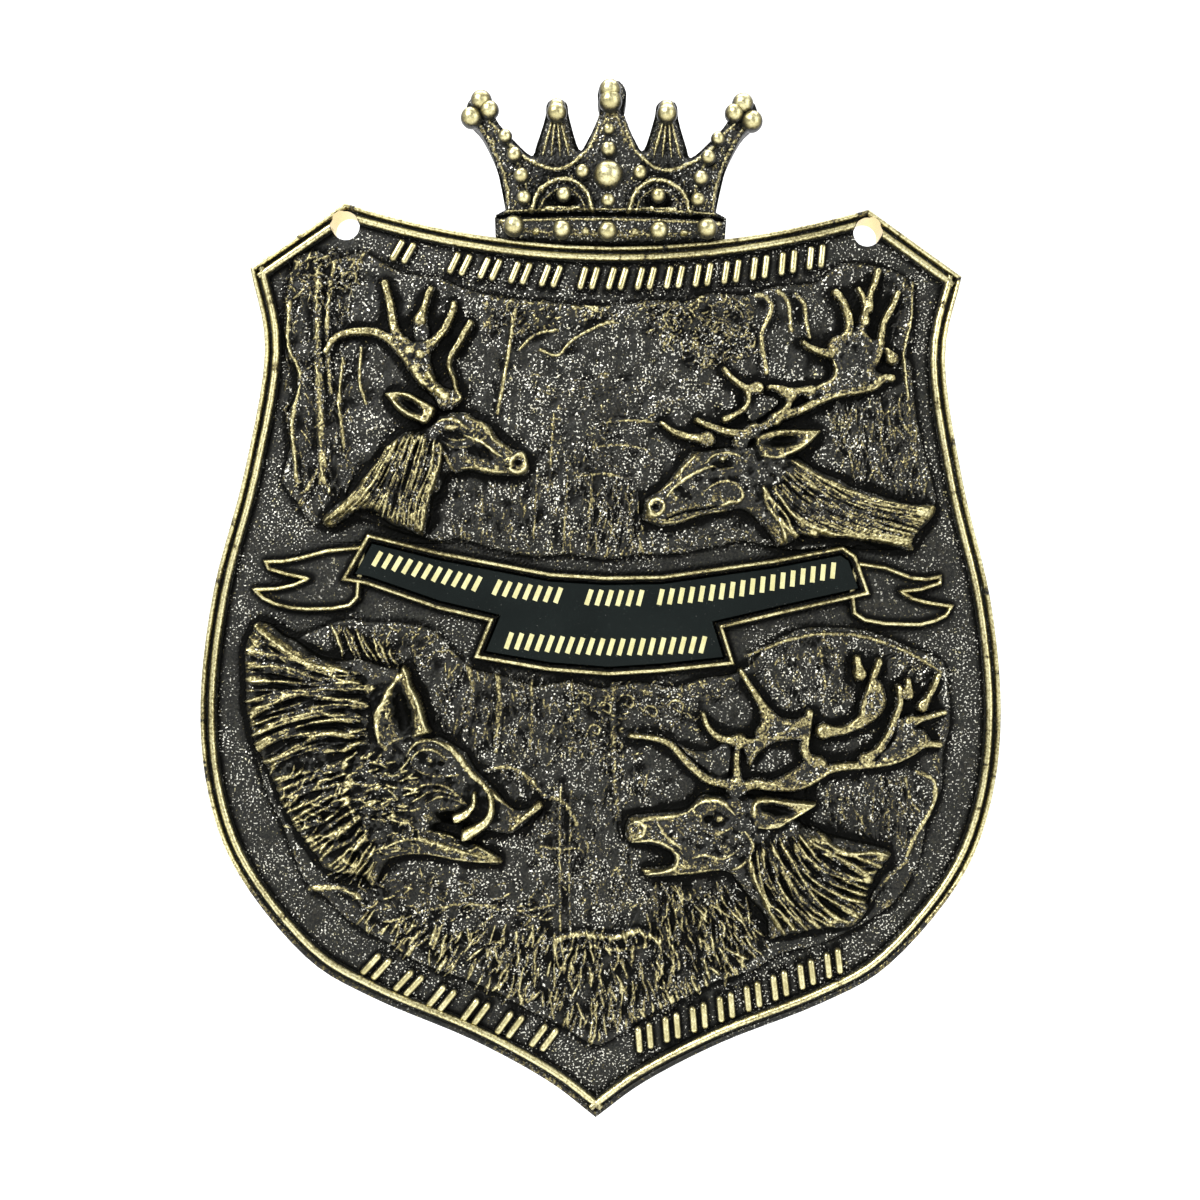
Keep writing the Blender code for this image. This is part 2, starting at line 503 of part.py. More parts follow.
def crown(r):
    """The crown's swelling front, with its band, arches, fluted points and pearls."""
    low, high = [(side * CROWN_FOOT_HALF, CROWN_FOOT) for side in (1, -1)]
    outline = shifted([low] + mirrored(CROWN_HALF) + [high])
    part = r.window(outline, 0.0)
    if part is None:
        return
    x, z = r.x[part], r.z[part]
    above = z - top_edge(x)
    d = np.minimum(r.inside_distance(np.asarray(outline), part), above)
    swell = CROWN_SWELL * np.clip(1 - ((x - CENTRE) / CROWN_RADIUS) ** 2, 0, 1)
    level = CROWN_EDGE + swell * np.clip(d / CROWN_SHOULDER, 0, 1)
    mine = Relief(x, z, 0.0)
    mine.h = level
    mine.noting, mine.lines = r.noting, r.lines
    for side in (-1, 1):
        arch = [(CENTRE + side * x, z) for x, z in
                [(3.2, 3.0), (4.4, 6.6), (8.4, 8.8), (12.6, 6.8), (14.2, 3.0)]]
        mine.stroke(arch, 1.2, 0.8)
        mine.swell((CENTRE + side * 8.6, 5.4), (4.0, 2.8), -1.2)
        mine.stroke([(CENTRE + side * 20, 18), (CENTRE + side * 10, 11.2), (CENTRE, 22)], 1.2, 0.6)
        mine.stroke([(CENTRE + side * 17.4, 3.4), (CENTRE + side * 18.6, 10),
                     (CENTRE + side * 22, 18)], 1.2, 0.5)
    mine.stroke([(CENTRE - 20, 2.4), (CENTRE, 2.7), (CENTRE + 20, 2.4)], 0.9, -0.8)
    for out, height, radius in CROWN_PEARLS:
        for side in (-1, 1) if out else (1,):
            mine.pearl((CENTRE + side * out, height), radius)
    r.h[part] = np.where(above > 0, mine.h, r.h[part])


def row_places(guide, count):
    """Places evenly spaced along a smooth guide, with the guide's slope at each."""
    path = smooth(guide, steps=12)
    reach = np.concatenate([[0], np.cumsum(np.linalg.norm(np.diff(path, axis=0), axis=1))])
    for at in np.linspace(0, reach[-1], count):
        x, z = (np.interp(at, reach, path[:, k]) for k in range(2))
        ahead = [np.interp(at + 0.5, reach, path[:, k]) - np.interp(at - 0.5, reach, path[:, k])
                 for k in range(2)]
        yield (x, z), math.atan2(ahead[1], ahead[0])


def stroke_places():
    """The corners of each raised stroke of the lettering: plain bars that all lean one way."""
    guides = []
    for first, last, count in TOP_ROW_RUNS:
        xs = np.linspace(first, max(last, first + 1), 5)
        guides.append(([(x + CENTRE, TOP_ROW_HEIGHT + x * x / TOP_ROW_BEND) for x in xs], count,
                       STROKE_TALL))
    guides.append((LOWER_LEFT_ROW, 6, STROKE_TALL * 1.15))
    guides.append((LOWER_RIGHT_ROW, 8, STROKE_TALL * 1.1))
    for guide, count, tall in guides:
        for (x, z), slope in row_places(guide, count):
            lean = slope - math.radians(STROKE_LEAN)
            c, s = math.cos(lean), math.sin(lean)
            for shift in (-STROKE_PITCH / 2, STROKE_PITCH / 2):
                middle = (x + shift * math.cos(slope), z + shift * math.sin(slope))
                corners = [(-STROKE_WIDE / 2, -tall / 2), (STROKE_WIDE / 2, -tall / 2),
                           (STROKE_WIDE / 2, tall / 2), (-STROKE_WIDE / 2, tall / 2)]
                yield [(middle[0] + u * c - v * s, middle[1] + u * s + v * c)
                       for u, v in corners]


def lettering(r):
    """The rows of raised strokes, flat on top."""
    for corners in stroke_places():
        r.form(corners, GROUND, LETTER_TOP - GROUND, STROKE_DRAFT, smooth_steps=0)


def carve(r):
    """Everything on the casting's face."""
    for feature in (scenery, stag, buck, boar, roaring_stag, ribbon, rim, lettering, crown):
        feature(r)


def ring_points(centre, radius, count):
    """Points evenly spaced around a circle."""
    turns = np.linspace(0, 2 * math.pi, count, endpoint=False)
    return np.stack([centre[0] + radius * np.cos(turns), centre[1] + radius * np.sin(turns)], 1)


def plaque_outline():
    """The shield's outline with the crown's in place of the middle of its top edge."""
    foot = [CENTRE - CROWN_FOOT_HALF, CENTRE + CROWN_FOOT_HALF]
    rest = [(x, z) for x, z in shield_outline()
            if not (foot[0] <= x <= foot[1] and abs(z - top_edge(x)) < 0.01)]
    up = [(CENTRE - x, z) for x, z in CROWN_HALF]
    down = [(CENTRE + x, z) for x, z in CROWN_HALF[-2::-1]]
    return np.array(rest + [(foot[0], top_edge(foot[0]))] + up + down
                    + [(foot[1], top_edge(foot[1]))])


def hole_rings():
    """The outlines of the two hanging holes."""
    return [ring_points((side * HOLE_SPACING / 2, 0.0), HOLE_DIAMETER / 2, HOLE_SIDES)
            for side in (-1, 1)]


def crisp_lines(noted):
    """Lines that the triangles keep: the places, and the places where their height is read."""
    yield from noted
    outline = plaque_outline()
    yield outline, offset(outline, NUDGE), True
    for ring in hole_rings():
        yield ring, offset(ring, -NUDGE), True
    shield = np.asarray(shield_outline())
    for inset in RIM_LINES:
        yield offset(shield, inset), offset(shield, inset), True
    yield offset(shield, RIM_WIDTH + STROKE_DRAFT), offset(shield, RIM_WIDTH + 0.2), True
    xs = np.linspace(CENTRE - CROWN_FOOT_HALF, CENTRE + CROWN_FOOT_HALF, 9)
    foot = np.stack([xs, top_edge(xs)], 1)
    yield foot, foot - (0, NUDGE), False
    for inset in (-RIDGE_WIDTH / 2, 0.0, RIDGE_WIDTH / 2):
        ring = np.asarray(shifted(RIBBON))
        yield offset(ring, inset), offset(ring, inset * 1.1), True
        for tail in (LEFT_TAIL, RIGHT_TAIL):
            line = offset(shifted(tail), inset)
            line = line[~inside(line, offset(ring, -2 * RIDGE_WIDTH))]
            yield line, line, False
    ring = shifted(RIBBON)
    wall = PLATE_INSET - PLATE_GAP
    yield offset(ring, wall - STROKE_DRAFT), offset(ring, wall - STROKE_DRAFT), True
    yield offset(ring, wall), offset(ring, wall + NUDGE), True
    for corners in stroke_places():
        yield np.asarray(corners), offset(corners, -NUDGE), True
        yield offset(corners, STROKE_DRAFT), offset(corners, STROKE_DRAFT + NUDGE), True


def inside(places, ring):
    """Which places lie inside a closed outline."""
    x, z = places[:, 0], places[:, 1]
    crossed = np.zeros(len(places), bool)
    for (ax, az), (bx, bz) in zip(ring, np.roll(ring, -1, 0)):
        if az != bz:
            crossed ^= ((az > z) != (bz > z)) & (x < ax + (z - az) * (bx - ax) / (bz - az))
    return crossed


def triangulated(places, edges):
    """The triangles between the places that lie on the plaque, and the places they end on."""
    found = delaunay_2d_cdt([Vector(place) for place in places], edges, [], 0, 1e-5, True)
    corners = np.array([tuple(place) for place in found[0]])
    triangles = np.array(found[2])
    middles = corners[triangles].mean(1)
    kept = inside(middles, plaque_outline())
    for ring in hole_rings():
        kept &= ~inside(middles, ring)
    sources = [source[0] if source else -1 for source in found[3]]
    return corners, triangles[kept], sources


def worst_places(corners, heights, triangles, face, usable):
    """In each triangle, the grid point that lies furthest from it."""
    left, bottom = face.x[0, 0], face.z[0, 0]
    found = []
    for triangle in triangles:
        a, b, c = corners[triangle]
        low = np.minimum(np.minimum(a, b), c)
        high = np.maximum(np.maximum(a, b), c)
        j0, j1 = (math.ceil((low[0] - left) / GRID_STEP), int((high[0] - left) / GRID_STEP) + 1)
        i0, i1 = (math.ceil((low[1] - bottom) / GRID_STEP), int((high[1] - bottom) / GRID_STEP) + 1)
        if i0 >= i1 or j0 >= j1:
            continue
        x, z = face.x[i0:i1, j0:j1], face.z[i0:i1, j0:j1]
        area = (b[0] - a[0]) * (c[1] - a[1]) - (c[0] - a[0]) * (b[1] - a[1])
        if abs(area) < 1e-9:
            continue
        v = ((x - a[0]) * (c[1] - a[1]) - (c[0] - a[0]) * (z - a[1])) / area
        w = ((b[0] - a[0]) * (z - a[1]) - (x - a[0]) * (b[1] - a[1])) / area
        flat = heights[triangle[0]] * (1 - v - w) + heights[triangle[1]] * v \
            + heights[triangle[2]] * w
        miss = np.abs(face.h[i0:i1, j0:j1] - flat)
        miss[(v < 0) | (w < 0) | (v + w > 1) | ~usable[i0:i1, j0:j1]] = 0
        k = int(miss.argmax())
        if miss.flat[k] > LEAST_MISS:
            found.append((miss.flat[k], x.flat[k], z.flat[k]))
    return sorted(found, reverse=True)


def fitted_face():
    """The face as triangles, with points added where the carving needs them most."""
    low, high = (-72.0, -160.0), (72.0, 27.0)
    x, z = np.meshgrid(np.arange(low[0], high[0] + GRID_STEP / 2, GRID_STEP),
                       np.arange(low[1], high[1] + GRID_STEP / 2, GRID_STEP))
    face = Relief(x, z, GROUND)
    carve(face)
    notes = Relief(x[::20, ::20], z[::20, ::20], GROUND)
    notes.noting = True
    for feature in (scenery, stag, buck, boar, roaring_stag, crown):
        feature(notes)
    outline = plaque_outline()
    usable = face.inside_distance(outline, face.everywhere()) > KEEP_CLEAR
    for side in (-1, 1):
        usable &= np.hypot(x - side * HOLE_SPACING / 2, z) > HOLE_DIAMETER / 2 + KEEP_CLEAR
    places, read_at, edges = [], [], []
    for line, read, closed in crisp_lines(notes.lines):
        first, count = len(places), len(line)
        places.extend(map(tuple, line))
        read_at.extend(map(tuple, read))
        edges.extend((first + k, first + (k + 1) % count) for k in range(count - (not closed)))
    step = round(FIRST_SPACING / GRID_STEP)
    coarse = np.zeros(x.shape, bool)
    coarse[::step, ::step] = True
    spots = [(a, b) for a, b in zip(x[coarse & usable], z[coarse & usable])]
    places.extend(spots)
    read_at.extend(spots)
    while True:
        corners, triangles, sources = triangulated(places, edges)
        reading = np.array([read_at[source] if source >= 0 else corner
                            for source, corner in zip(sources, corners)])
        at = Relief(reading[:, 0], reading[:, 1], GROUND)
        carve(at)
        room = (FACE_TRIANGLES - len(triangles)) // 2
        worst = worst_places(corners, at.h, triangles, face, usable)[:max(room // 4, 100)]
        if room <= 0 or not worst:
            return corners, at.h, triangles
        places.extend((a, b) for _, a, b in worst[:room])
        read_at.extend((a, b) for _, a, b in worst[:room])


def casting_mesh(name):
    """The casting as one closed mesh: its face, its walls and its flat back."""
    corners, heights, triangles = fitted_face()
    shape = bmesh.new()
    used = np.unique(triangles)
    front = {k: shape.verts.new((corners[k][0] * MM, -heights[k] * MM, corners[k][1] * MM))
             for k in used}
    facing = set()
    for a, b, c in triangles:
        shape.faces.new((front[a], front[b], front[c]))
        facing.update(((a, b), (b, c), (c, a)))
    border = [(a, b) for a, b in facing if (b, a) not in facing]
    border.sort()
    ends = sorted({k for edge in border for k in edge})
    back = {k: shape.verts.new((corners[k][0] * MM, 0, corners[k][1] * MM)) for k in ends}
    for a, b in border:
        shape.faces.new((front[b], front[a], back[a], back[b]))
    index = {k: number for number, k in enumerate(ends)}
    flat = triangulated([tuple(corners[k]) for k in ends], [(index[a], index[b]) for a, b in border])
    for a, b, c in flat[1]:
        shape.faces.new([back[ends[flat[2][k]]] for k in (c, b, a)])
    mesh = bpy.data.meshes.new(name)
    shape.to_mesh(mesh)
    shape.free()
    return mesh


def material(name, colour, metallic, roughness):
    """A plain Principled material."""
    made = bpy.data.materials.new(name)
    made.use_nodes = True
    shader = made.node_tree.nodes["Principled BSDF"]
    shader.inputs["Base Color"].default_value = (*colour, 1.0)
    shader.inputs["Metallic"].default_value = metallic
    shader.inputs["Roughness"].default_value = roughness
    return made


def plate_object(collection):
    """The ribbon's plate: a flat outline as a 2D curve, made solid and welded."""
    curve = bpy.data.curves.new("ribbon_plate", "CURVE")
    curve.dimensions = "2D"
    curve.fill_mode = "BOTH"
    curve.extrude = PLATE_THICKNESS / 2 * MM
    outline = offset(shifted(RIBBON), PLATE_INSET)
    spline = curve.splines.new("POLY")
    spline.points.add(len(outline) - 1)
    for target, (x, z) in zip(spline.points, outline):
        target.co = (x * MM, z * MM, 0, 1)
    spline.use_cyclic_u = True
    drawn = bpy.data.objects.new("plate_curve", curve)
    collection.objects.link(drawn)
    bpy.context.view_layer.update()
    mesh = bpy.data.meshes.new_from_object(drawn.evaluated_get(
        bpy.context.evaluated_depsgraph_get()))
    bpy.data.objects.remove(drawn)
    shape = bmesh.new()
    shape.from_mesh(mesh)
    bmesh.ops.remove_doubles(shape, verts=shape.verts, dist=0.00001)
    bmesh.ops.recalc_face_normals(shape, faces=shape.faces)
    shape.to_mesh(mesh)
    shape.free()
    plate = bpy.data.objects.new("ribbon_plate", mesh)
    plate.rotation_euler.x = math.pi / 2
    plate.location.y = -(RECESS_FLOOR + PLATE_GAP + PLATE_THICKNESS / 2) * MM
    collection.objects.link(plate)
    return plate


def main():
    for old in list(bpy.data.objects):
        bpy.data.objects.remove(old)
    parts = bpy.data.collections.new("shield_plaque")
    bpy.context.scene.collection.children.link(parts)

    casting = bpy.data.objects.new("shield_casting", casting_mesh("shield_casting"))
    parts.objects.link(casting)
    casting.data.materials.append(material("antique_brass", (0.42, 0.34, 0.17), 1.0, 0.42))
    casting.data.shade_smooth()
    casting.data.set_sharp_from_angle(angle=math.radians(SHARP_ANGLE))

    plate = plate_object(parts)
    plate.data.materials.append(material("black_plate", (0.012, 0.013, 0.014), 0.0, 0.12))


main()
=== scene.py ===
"""Looks of the heraldic shield plaque: a cast brass hunting plaque with an antique finish.

Everything is drawn in millimetres and turned into metres as each mesh is made. X runs right as
seen from the front, Z runs up, and heights are measured forward, along -Y, from the flat back.
"""

import math

import bmesh
import bpy
import numpy as np
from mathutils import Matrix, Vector
from mathutils.geometry import delaunay_2d_cdt


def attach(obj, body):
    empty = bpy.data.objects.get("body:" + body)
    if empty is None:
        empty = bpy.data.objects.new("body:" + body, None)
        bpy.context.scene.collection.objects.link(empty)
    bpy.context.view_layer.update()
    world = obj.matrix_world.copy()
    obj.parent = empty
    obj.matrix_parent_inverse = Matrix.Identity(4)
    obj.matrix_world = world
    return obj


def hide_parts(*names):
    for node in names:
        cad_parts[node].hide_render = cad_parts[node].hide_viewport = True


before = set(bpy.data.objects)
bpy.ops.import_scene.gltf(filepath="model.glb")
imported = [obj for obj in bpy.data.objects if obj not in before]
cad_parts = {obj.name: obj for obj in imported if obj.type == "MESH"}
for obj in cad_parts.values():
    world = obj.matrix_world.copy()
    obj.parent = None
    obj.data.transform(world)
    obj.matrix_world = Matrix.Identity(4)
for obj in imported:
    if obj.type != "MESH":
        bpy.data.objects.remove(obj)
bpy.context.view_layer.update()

MM = 0.001
CASTING, PLATE = "shield_casting", "ribbon_plate"

# Heights above the back
GROUND = 4.7
FIELD = 5.3
RIM_TOP = 6.4
RIM_BED = 5.5
RIBBON_LEVEL = 5.6
RIBBON_RIDGE_TOP = 6.6
RECESS_FLOOR = 4.8
PLATE_BACK = 5.1
PLATE_FRONT = 5.8
STROKE_TOP = 5.9
BODY_FRONT = 3.2
FACE_FOOT = 3.0

# The shield, its rim and its hanging holes
HOLE_SPACING = 94.0
HOLE_RADIUS = 2.5
HOLE_SIDES = 64
CUTTER_REACH = (-5.0, 12.0)
TOP_SAG = 7.1
PEAK_HEIGHT = 3.9
SIDE = [(63.9, -8.0), (61.1, -23.0), (64.6, -45.0), (69.8, -66.0), (71.9, -86.0),
        (70.2, -102.8), (64.6, -117.0), (52.5, -131.6), (40.3, -138.8), (22.6, -146.0),
        (8.9, -153.2)]
TIP = (0.0, -159.8)
RIM_WIDTH = 2.8
OUTER_BEAD = (0.5, 0.5)
INNER_BEAD = (2.1, 0.65)
RIM_STEP = 0.45
RIM_LAP = 0.05
LOW_BEAD_SHARE = 0.25
FACE_INSET = 1.9
LOW_RIM = (-112.0, -130.0)

# The face's grid, and the heights where one piece of it gives way to the next
CELL = 0.22
FACE_SPAN = (-72.0, 72.0 + CELL / 2)
FACE_RISE = (-160.0, 4.2)
TOP_BORDER, RIBBON_TOP, RIBBON_FOOT, BASE_BORDER = -10.0, -57.0, -72.0, -118.0
MIDDLE = -2.0
SNAP_REACH = 0.3

# The ribbon and its plate
CENTRE = 0.7
RIDGE_WIDTH = 0.9
PLATE_INSET = 1.2
PLATE_GAP = 0.3
PLATE_ARRIS = 0.09
BEAD_STEP = 0.5
TAIL_CALM = 5.0

# The crown
CROWN_FOOT_HALF = 20.6
CROWN_EDGE = 5.6
CROWN_SWELL = 2.2
CROWN_RADIUS = 26.0
CROWN_SHOULDER = 1.4
CROWN_CELL = 0.16
CROWN_SPAN = (-27.0, 28.4)
CROWN_RISE = (-4.0, 27.2)
CROWN_GRAIN = 0.55
PEARL_RISE = 1.1
CROWN_SINK = 0.85
PEARL_TOP = 10.5

# Rows of plain strokes: raised ones on the casting, printed ones on the plate
STROKE_WIDE = 1.25
STROKE_TALL = 4.4
STROKE_LEAN = 16.0
STROKE_PITCH = 2.1
STROKE_SHOULDER = 0.34
STROKE_RINGS = 17
STROKE_TAPER = {"From Min": 0.38, "From Max": 0.5, "To Min": 0.0, "To Max": 0.86}
PRINT_HALF_WIDE = 0.42

# How the figures are carved
HEAD_RISE, HEAD_ROUND = 2.4, 3.0
BOAR_RISE, BOAR_ROUND = 2.2, 3.2
EAR_RISE, EAR_ROUND, EAR_RIM = 2.8, 1.2, 0.55
TINE_RISE, TINE_POLISH, TINE_FLARE = 1.85, 0.22, 0.7
TUSK_RISE, TUSK_FOOT = 3.4, 0.8
WEB_ROUND, WEB_GRAIN = 0.9, 0.9
FLARE_LENGTH = 1.3
LEAST_TAPER = 0.09
FIELD_SLOPE = 0.7
LEAST_STEP, STEP_UP = 0.05, 0.3
BODY_START = 0.6
SOFT_TOP, SOFT_ROOM = 9, 1.2

# Uneven surfaces, as depth, wavelength and seed
GROUND_WAVES = [(0.1, 5.0, 1)]
BODY_WAVES = [(0.1, 2.6, 4), (0.05, 1.1, 5)]
FACE_GRIT = [(0.055, 0.62, 2), (0.03, 1.3, 3)]
CROWN_GRIT = [(0.05, 0.62, 8), (0.04, 1.4, 9)]

# How the finish follows the relief: bare brass on ridges, patina and painted shade in hollows and
# corners
NEAR_BLUR, FAR_BLUR, HOLLOW_BLUR = 0.4, 1.5, 1.05
NEAR_RIDGE, FAR_RIDGE = 1.6, 0.85
RIDGE_WEAR, RIDGE_GAIN, POLISH_WEAR = 0.76, 1.75, 0.62
PATINA_HOLD, CORNER_PATINA_AND_SHADE, CORNER_HOLLOW = 0.1, 0.85, 0.42
HOLLOW_GAIN, HOLLOW_START, HOLLOW_DULLS = 2.4, 0.05, 1.4
# How many painted glints show on the mouldings
MOULDING_GRAIN = 0.25
SHARP_ANGLE = 50

# The photograph's view, in millimetres and degrees, and the studio's lights
VIEW_AIM = (-0.35, -66.8)
VIEW_PLANE = 5.0
VIEW_DISTANCE = 250.0
VIEW_WIDTH = 216.0
VIEW_ROLL = 0.7
WORLD_LIGHT = 0.7
FLOOR, WALL, BEND = -0.45, 1.2, 0.5
SWEEP_HALF, SWEEP_NEAR, SWEEP_HIGH = 4.0, -3.0, 3.0
SENSOR = 36.0
CLIP = (0.01, 20)
LAMPS = [("key_softbox", (-0.55, -0.75, 0.55), (0.5, 0.5), 14.0),
         ("fill_softbox", (0.7, -0.6, 0.1), (0.5, 0.7), 3.5),
         ("backdrop_softbox", (0.0, 0.2, 1.6), (2.0, 1.0), 40.0)]


def smooth(points, closed=False, steps=4):
    """Points along the smooth curve through the given points."""
    pts = np.asarray(points, float)
    if closed:
        pts = np.vstack([pts[-1:], pts, pts[:2]])
    else:
        pts = np.vstack([2 * pts[:1] - pts[1:2], pts, 2 * pts[-1:] - pts[-2:-1]])
    t = np.linspace(0, 1, steps, endpoint=False)[:, None]
    runs = []
    for a, b, c, d in zip(pts, pts[1:], pts[2:], pts[3:]):
        runs.append(0.5 * (2 * b + (c - a) * t + (2 * a - 5 * b + 4 * c - d) * t ** 2
                           + (3 * b - a - 3 * c + d) * t ** 3))
    curve = np.vstack(runs)
    return curve if closed else np.vstack([curve, pts[-2:-1]])


def offset(points, distance):
    """A closed outline moved inwards by a distance, corner by corner."""
    pts = np.asarray(points, float)
    before, after = np.roll(pts, 1, 0) - pts, np.roll(pts, -1, 0) - pts
    before /= np.linalg.norm(before, axis=1)[:, None]
    after /= np.linalg.norm(after, axis=1)[:, None]
    area = np.sum(pts[:, 0] * np.roll(pts[:, 1], -1) - pts[:, 1] * np.roll(pts[:, 0], -1))
    normal = np.stack([-after[:, 1], after[:, 0]], 1) * math.copysign(1, area)
    other = np.stack([before[:, 1], -before[:, 0]], 1) * math.copysign(1, area)
    middle = normal + other
    middle /= np.maximum(np.sum(middle * normal, axis=1), 0.5)[:, None]
    return pts + middle * distance


def shifted(points, dx=CENTRE):
    """Points moved to the right by the crown's and ribbon's shift."""
    return [(x + dx, z) for x, z in points]


def mirrored(half):
    """A right half outline, top to bottom, closed by its mirror image."""
    return list(half) + [(-x, z) for x, z in reversed(half) if x > 0]


def divided(ring, spacing):
    """A closed outline with points added so that none lie further apart than the spacing."""
    made = []
    for a, b in zip(ring, np.roll(ring, -1, 0)):
        count = max(math.ceil(np.linalg.norm(b - a) / spacing), 1)
        made.extend(a + (b - a) * k / count for k in range(count))
    return np.array(made)


def top_edge(x):
    """Height of the shield's hollow top edge at x."""
    return PEAK_HEIGHT - TOP_SAG * (1 - (2 * x / HOLE_SPACING) ** 2)


def shield_outline(steps=3):
    """The shield: a hollow top edge, clipped shoulders and a pointed base."""
    half_span = HOLE_SPACING / 2
    xs = np.linspace(0, half_span, 2 * steps + 1)
    side = smooth(SIDE + [TIP], steps=steps)[:-1]
    return np.array(mirrored([(x, top_edge(x)) for x in xs] + [tuple(p) for p in side] + [TIP]))


def mottle(shape, wavelength, seed, stretch=(1.0, 1.0)):
    """Even noise over a grid, with unit spread; the wavelength is in cells."""
    made = np.random.default_rng(seed).standard_normal(shape)
    across = np.fft.rfftfreq(shape[1])[None, :] * wavelength * stretch[0]
    up = np.fft.fftfreq(shape[0])[:, None] * wavelength * stretch[1]
    band = np.exp(-((np.hypot(across, up) - 1) / 0.4) ** 2)
    made = np.fft.irfft2(np.fft.rfft2(made) * band, shape)
    return made / made.std()


def waves(shape, cell, parts):
    """Noise of several depths and wavelengths, in millimetres, over a grid of cells."""
    return sum(depth * mottle(shape, wavelength / cell, seed) for depth, wavelength, seed in parts)


def softened(height, cells):
    """A grid of heights blurred over a number of cells."""
    pad = int(3 * cells) + 1
    padded = np.pad(height, pad, mode="edge")
    across = np.fft.rfftfreq(padded.shape[1])[None, :]
    up = np.fft.fftfreq(padded.shape[0])[:, None]
    keep = np.exp(-2 * (math.pi * cells) ** 2 * (across ** 2 + up ** 2))
    return np.fft.irfft2(np.fft.rfft2(padded) * keep, padded.shape)[pad:-pad, pad:-pad]


EVERYWHERE = (slice(None), slice(None))


class Relief:
    """Heights above the back over a grid of x and z, with the finish at each place: polish, grain
    (the grit's depth and how many painted glints show) and dark corners (patina and painted
    shade).
    """

    def __init__(self, x, z, level):
        self.x, self.z = x, z
        self.h = np.full(x.shape, level, float)
        self.polish = np.zeros(x.shape)
        self.grain = np.ones(x.shape)
        # Corners beside raised pieces, darkened with patina and painted shade
        self.dark = np.zeros(x.shape)

    def window(self, points, reach):
        """The part of the grid that lies near the points."""
        pts = np.asarray(points, float)
        low, high = pts.min(0) - reach, pts.max(0) + reach
        columns = np.flatnonzero((self.x[0] >= low[0]) & (self.x[0] <= high[0]))
        rows = np.flatnonzero((self.z[:, 0] >= low[1]) & (self.z[:, 0] <= high[1]))
        if not len(rows) or not len(columns):
            return None
        return slice(rows[0], rows[-1] + 1), slice(columns[0], columns[-1] + 1)

    def along(self, points, part):
        """Distance to a path, and how far along it the nearest point lies, from 0 to 1."""
        x, z = self.x[part], self.z[part]
        pts = np.asarray(points, float)
        lengths = np.linalg.norm(np.diff(pts, axis=0), axis=1)
        total, start = max(lengths.sum(), 1e-6), 0.0
        best = np.full(x.shape, np.inf)
        where = np.zeros(x.shape)
        for a, b, length in zip(pts, pts[1:], lengths):
            run = b - a
            t = ((x - a[0]) * run[0] + (z - a[1]) * run[1]) / max(length ** 2, 1e-9)
            t = np.clip(t, 0, 1)
            d = np.hypot(x - a[0] - t * run[0], z - a[1] - t * run[1])
            nearer = d < best
            best[nearer] = d[nearer]
            where[nearer] = ((start + t * length) / total)[nearer]
            start += length
        return best, where

    def inside_distance(self, outline, part):
        """Distance inwards from a closed outline, negative outside it."""
        x, z = self.x[part], self.z[part]
        ring = np.vstack([outline, outline[:1]])
        d, _ = self.along(ring, part)
        crossed = np.zeros(x.shape, bool)
        for (ax, az), (bx, bz) in zip(ring, ring[1:]):
            if az != bz:
                spans = (az > z) != (bz > z)
                crossed ^= spans & (x < ax + (z - az) * (bx - ax) / (bz - az))
        return np.where(crossed, d, -d)

    def bar(self, points, width, top, tip=None, level=FIELD, polish=0.0, flare=0.0):
        """A round bar that stands on a level, such as a tine.

        It tapers from its root. A flared one is wider at its root and most worn at its tip.
        """
        path = smooth(points)
        part = self.window(path, width)
        if part is None:
            return
        tip = width if tip is None else tip
        d, t = self.along(path, part)
        reach = np.linalg.norm(np.diff(path, axis=0), axis=1).sum()
        flared = 1 + flare * np.exp(-(t * reach / FLARE_LENGTH) ** 2)
        half = (width + (tip - width) * t) / 2 * flared
        over = np.sqrt(np.clip(1 - (d / half) ** 4, 0, 1))
        raised = level + (top - level) * over * (0.55 + 0.45 * np.minimum(half * 2 / width, 1))
        self.h[part] = np.where(d < half, np.maximum(self.h[part], raised), self.h[part])
        worn = polish * over * (1 - flare * (1 - t))
        self.polish[part] = np.maximum(self.polish[part], worn)

    def mark(self, points, width, rise, polish=0.0, steps=3, point=True, onto=None):
        """A soft ridge, or a groove where the rise is negative, thin at both ends.

        Onto a layer, crossing marks don't add up.
        """
        path = smooth(points, steps=steps) if steps else np.asarray(points, float)
        part = self.window(path, width)
        if part is None:
            return
        d, t = self.along(path, part)
        half = width / 2 * (np.sqrt(np.clip(4 * t * (1 - t), LEAST_TAPER, 1)) if point else 1)
        over = np.clip(1 - (d / half) ** 2, 0, 1)
        if onto is None:
            self.h[part] += rise * over
        else:
            onto[part] = np.maximum(onto[part], rise * over)
        if polish:
            self.polish[part] = np.maximum(self.polish[part], polish * over)

    def darken(self, points, near, far):
        """Patina and painted shade in the corner beside a raised piece that follows a path."""
        part = self.window(points, far)
        d, _ = self.along(points, part)
        self.dark[part] = np.maximum(self.dark[part], np.clip((far - d) / (far - near), 0, 1))

    def form(self, outline, level, rise, round_width, steps=3, grain=None):
        """A pillow-like form with a rounded edge, raised above a level."""
        ring = smooth(outline, closed=True, steps=steps) if steps else np.asarray(outline, float)
        part = self.window(ring, 0.5)
        if part is None:
            return
        d = self.inside_distance(ring, part)
        edge = np.sqrt(np.clip(1 - (1 - np.clip(d / round_width, 0, 1)) ** 2, 0, 1))
        raised = level + rise * edge
        self.h[part] = np.where(d > 0, np.maximum(self.h[part], raised), self.h[part])
        if grain is not None:
            self.grain[part] = np.where(d > 0, grain, self.grain[part])

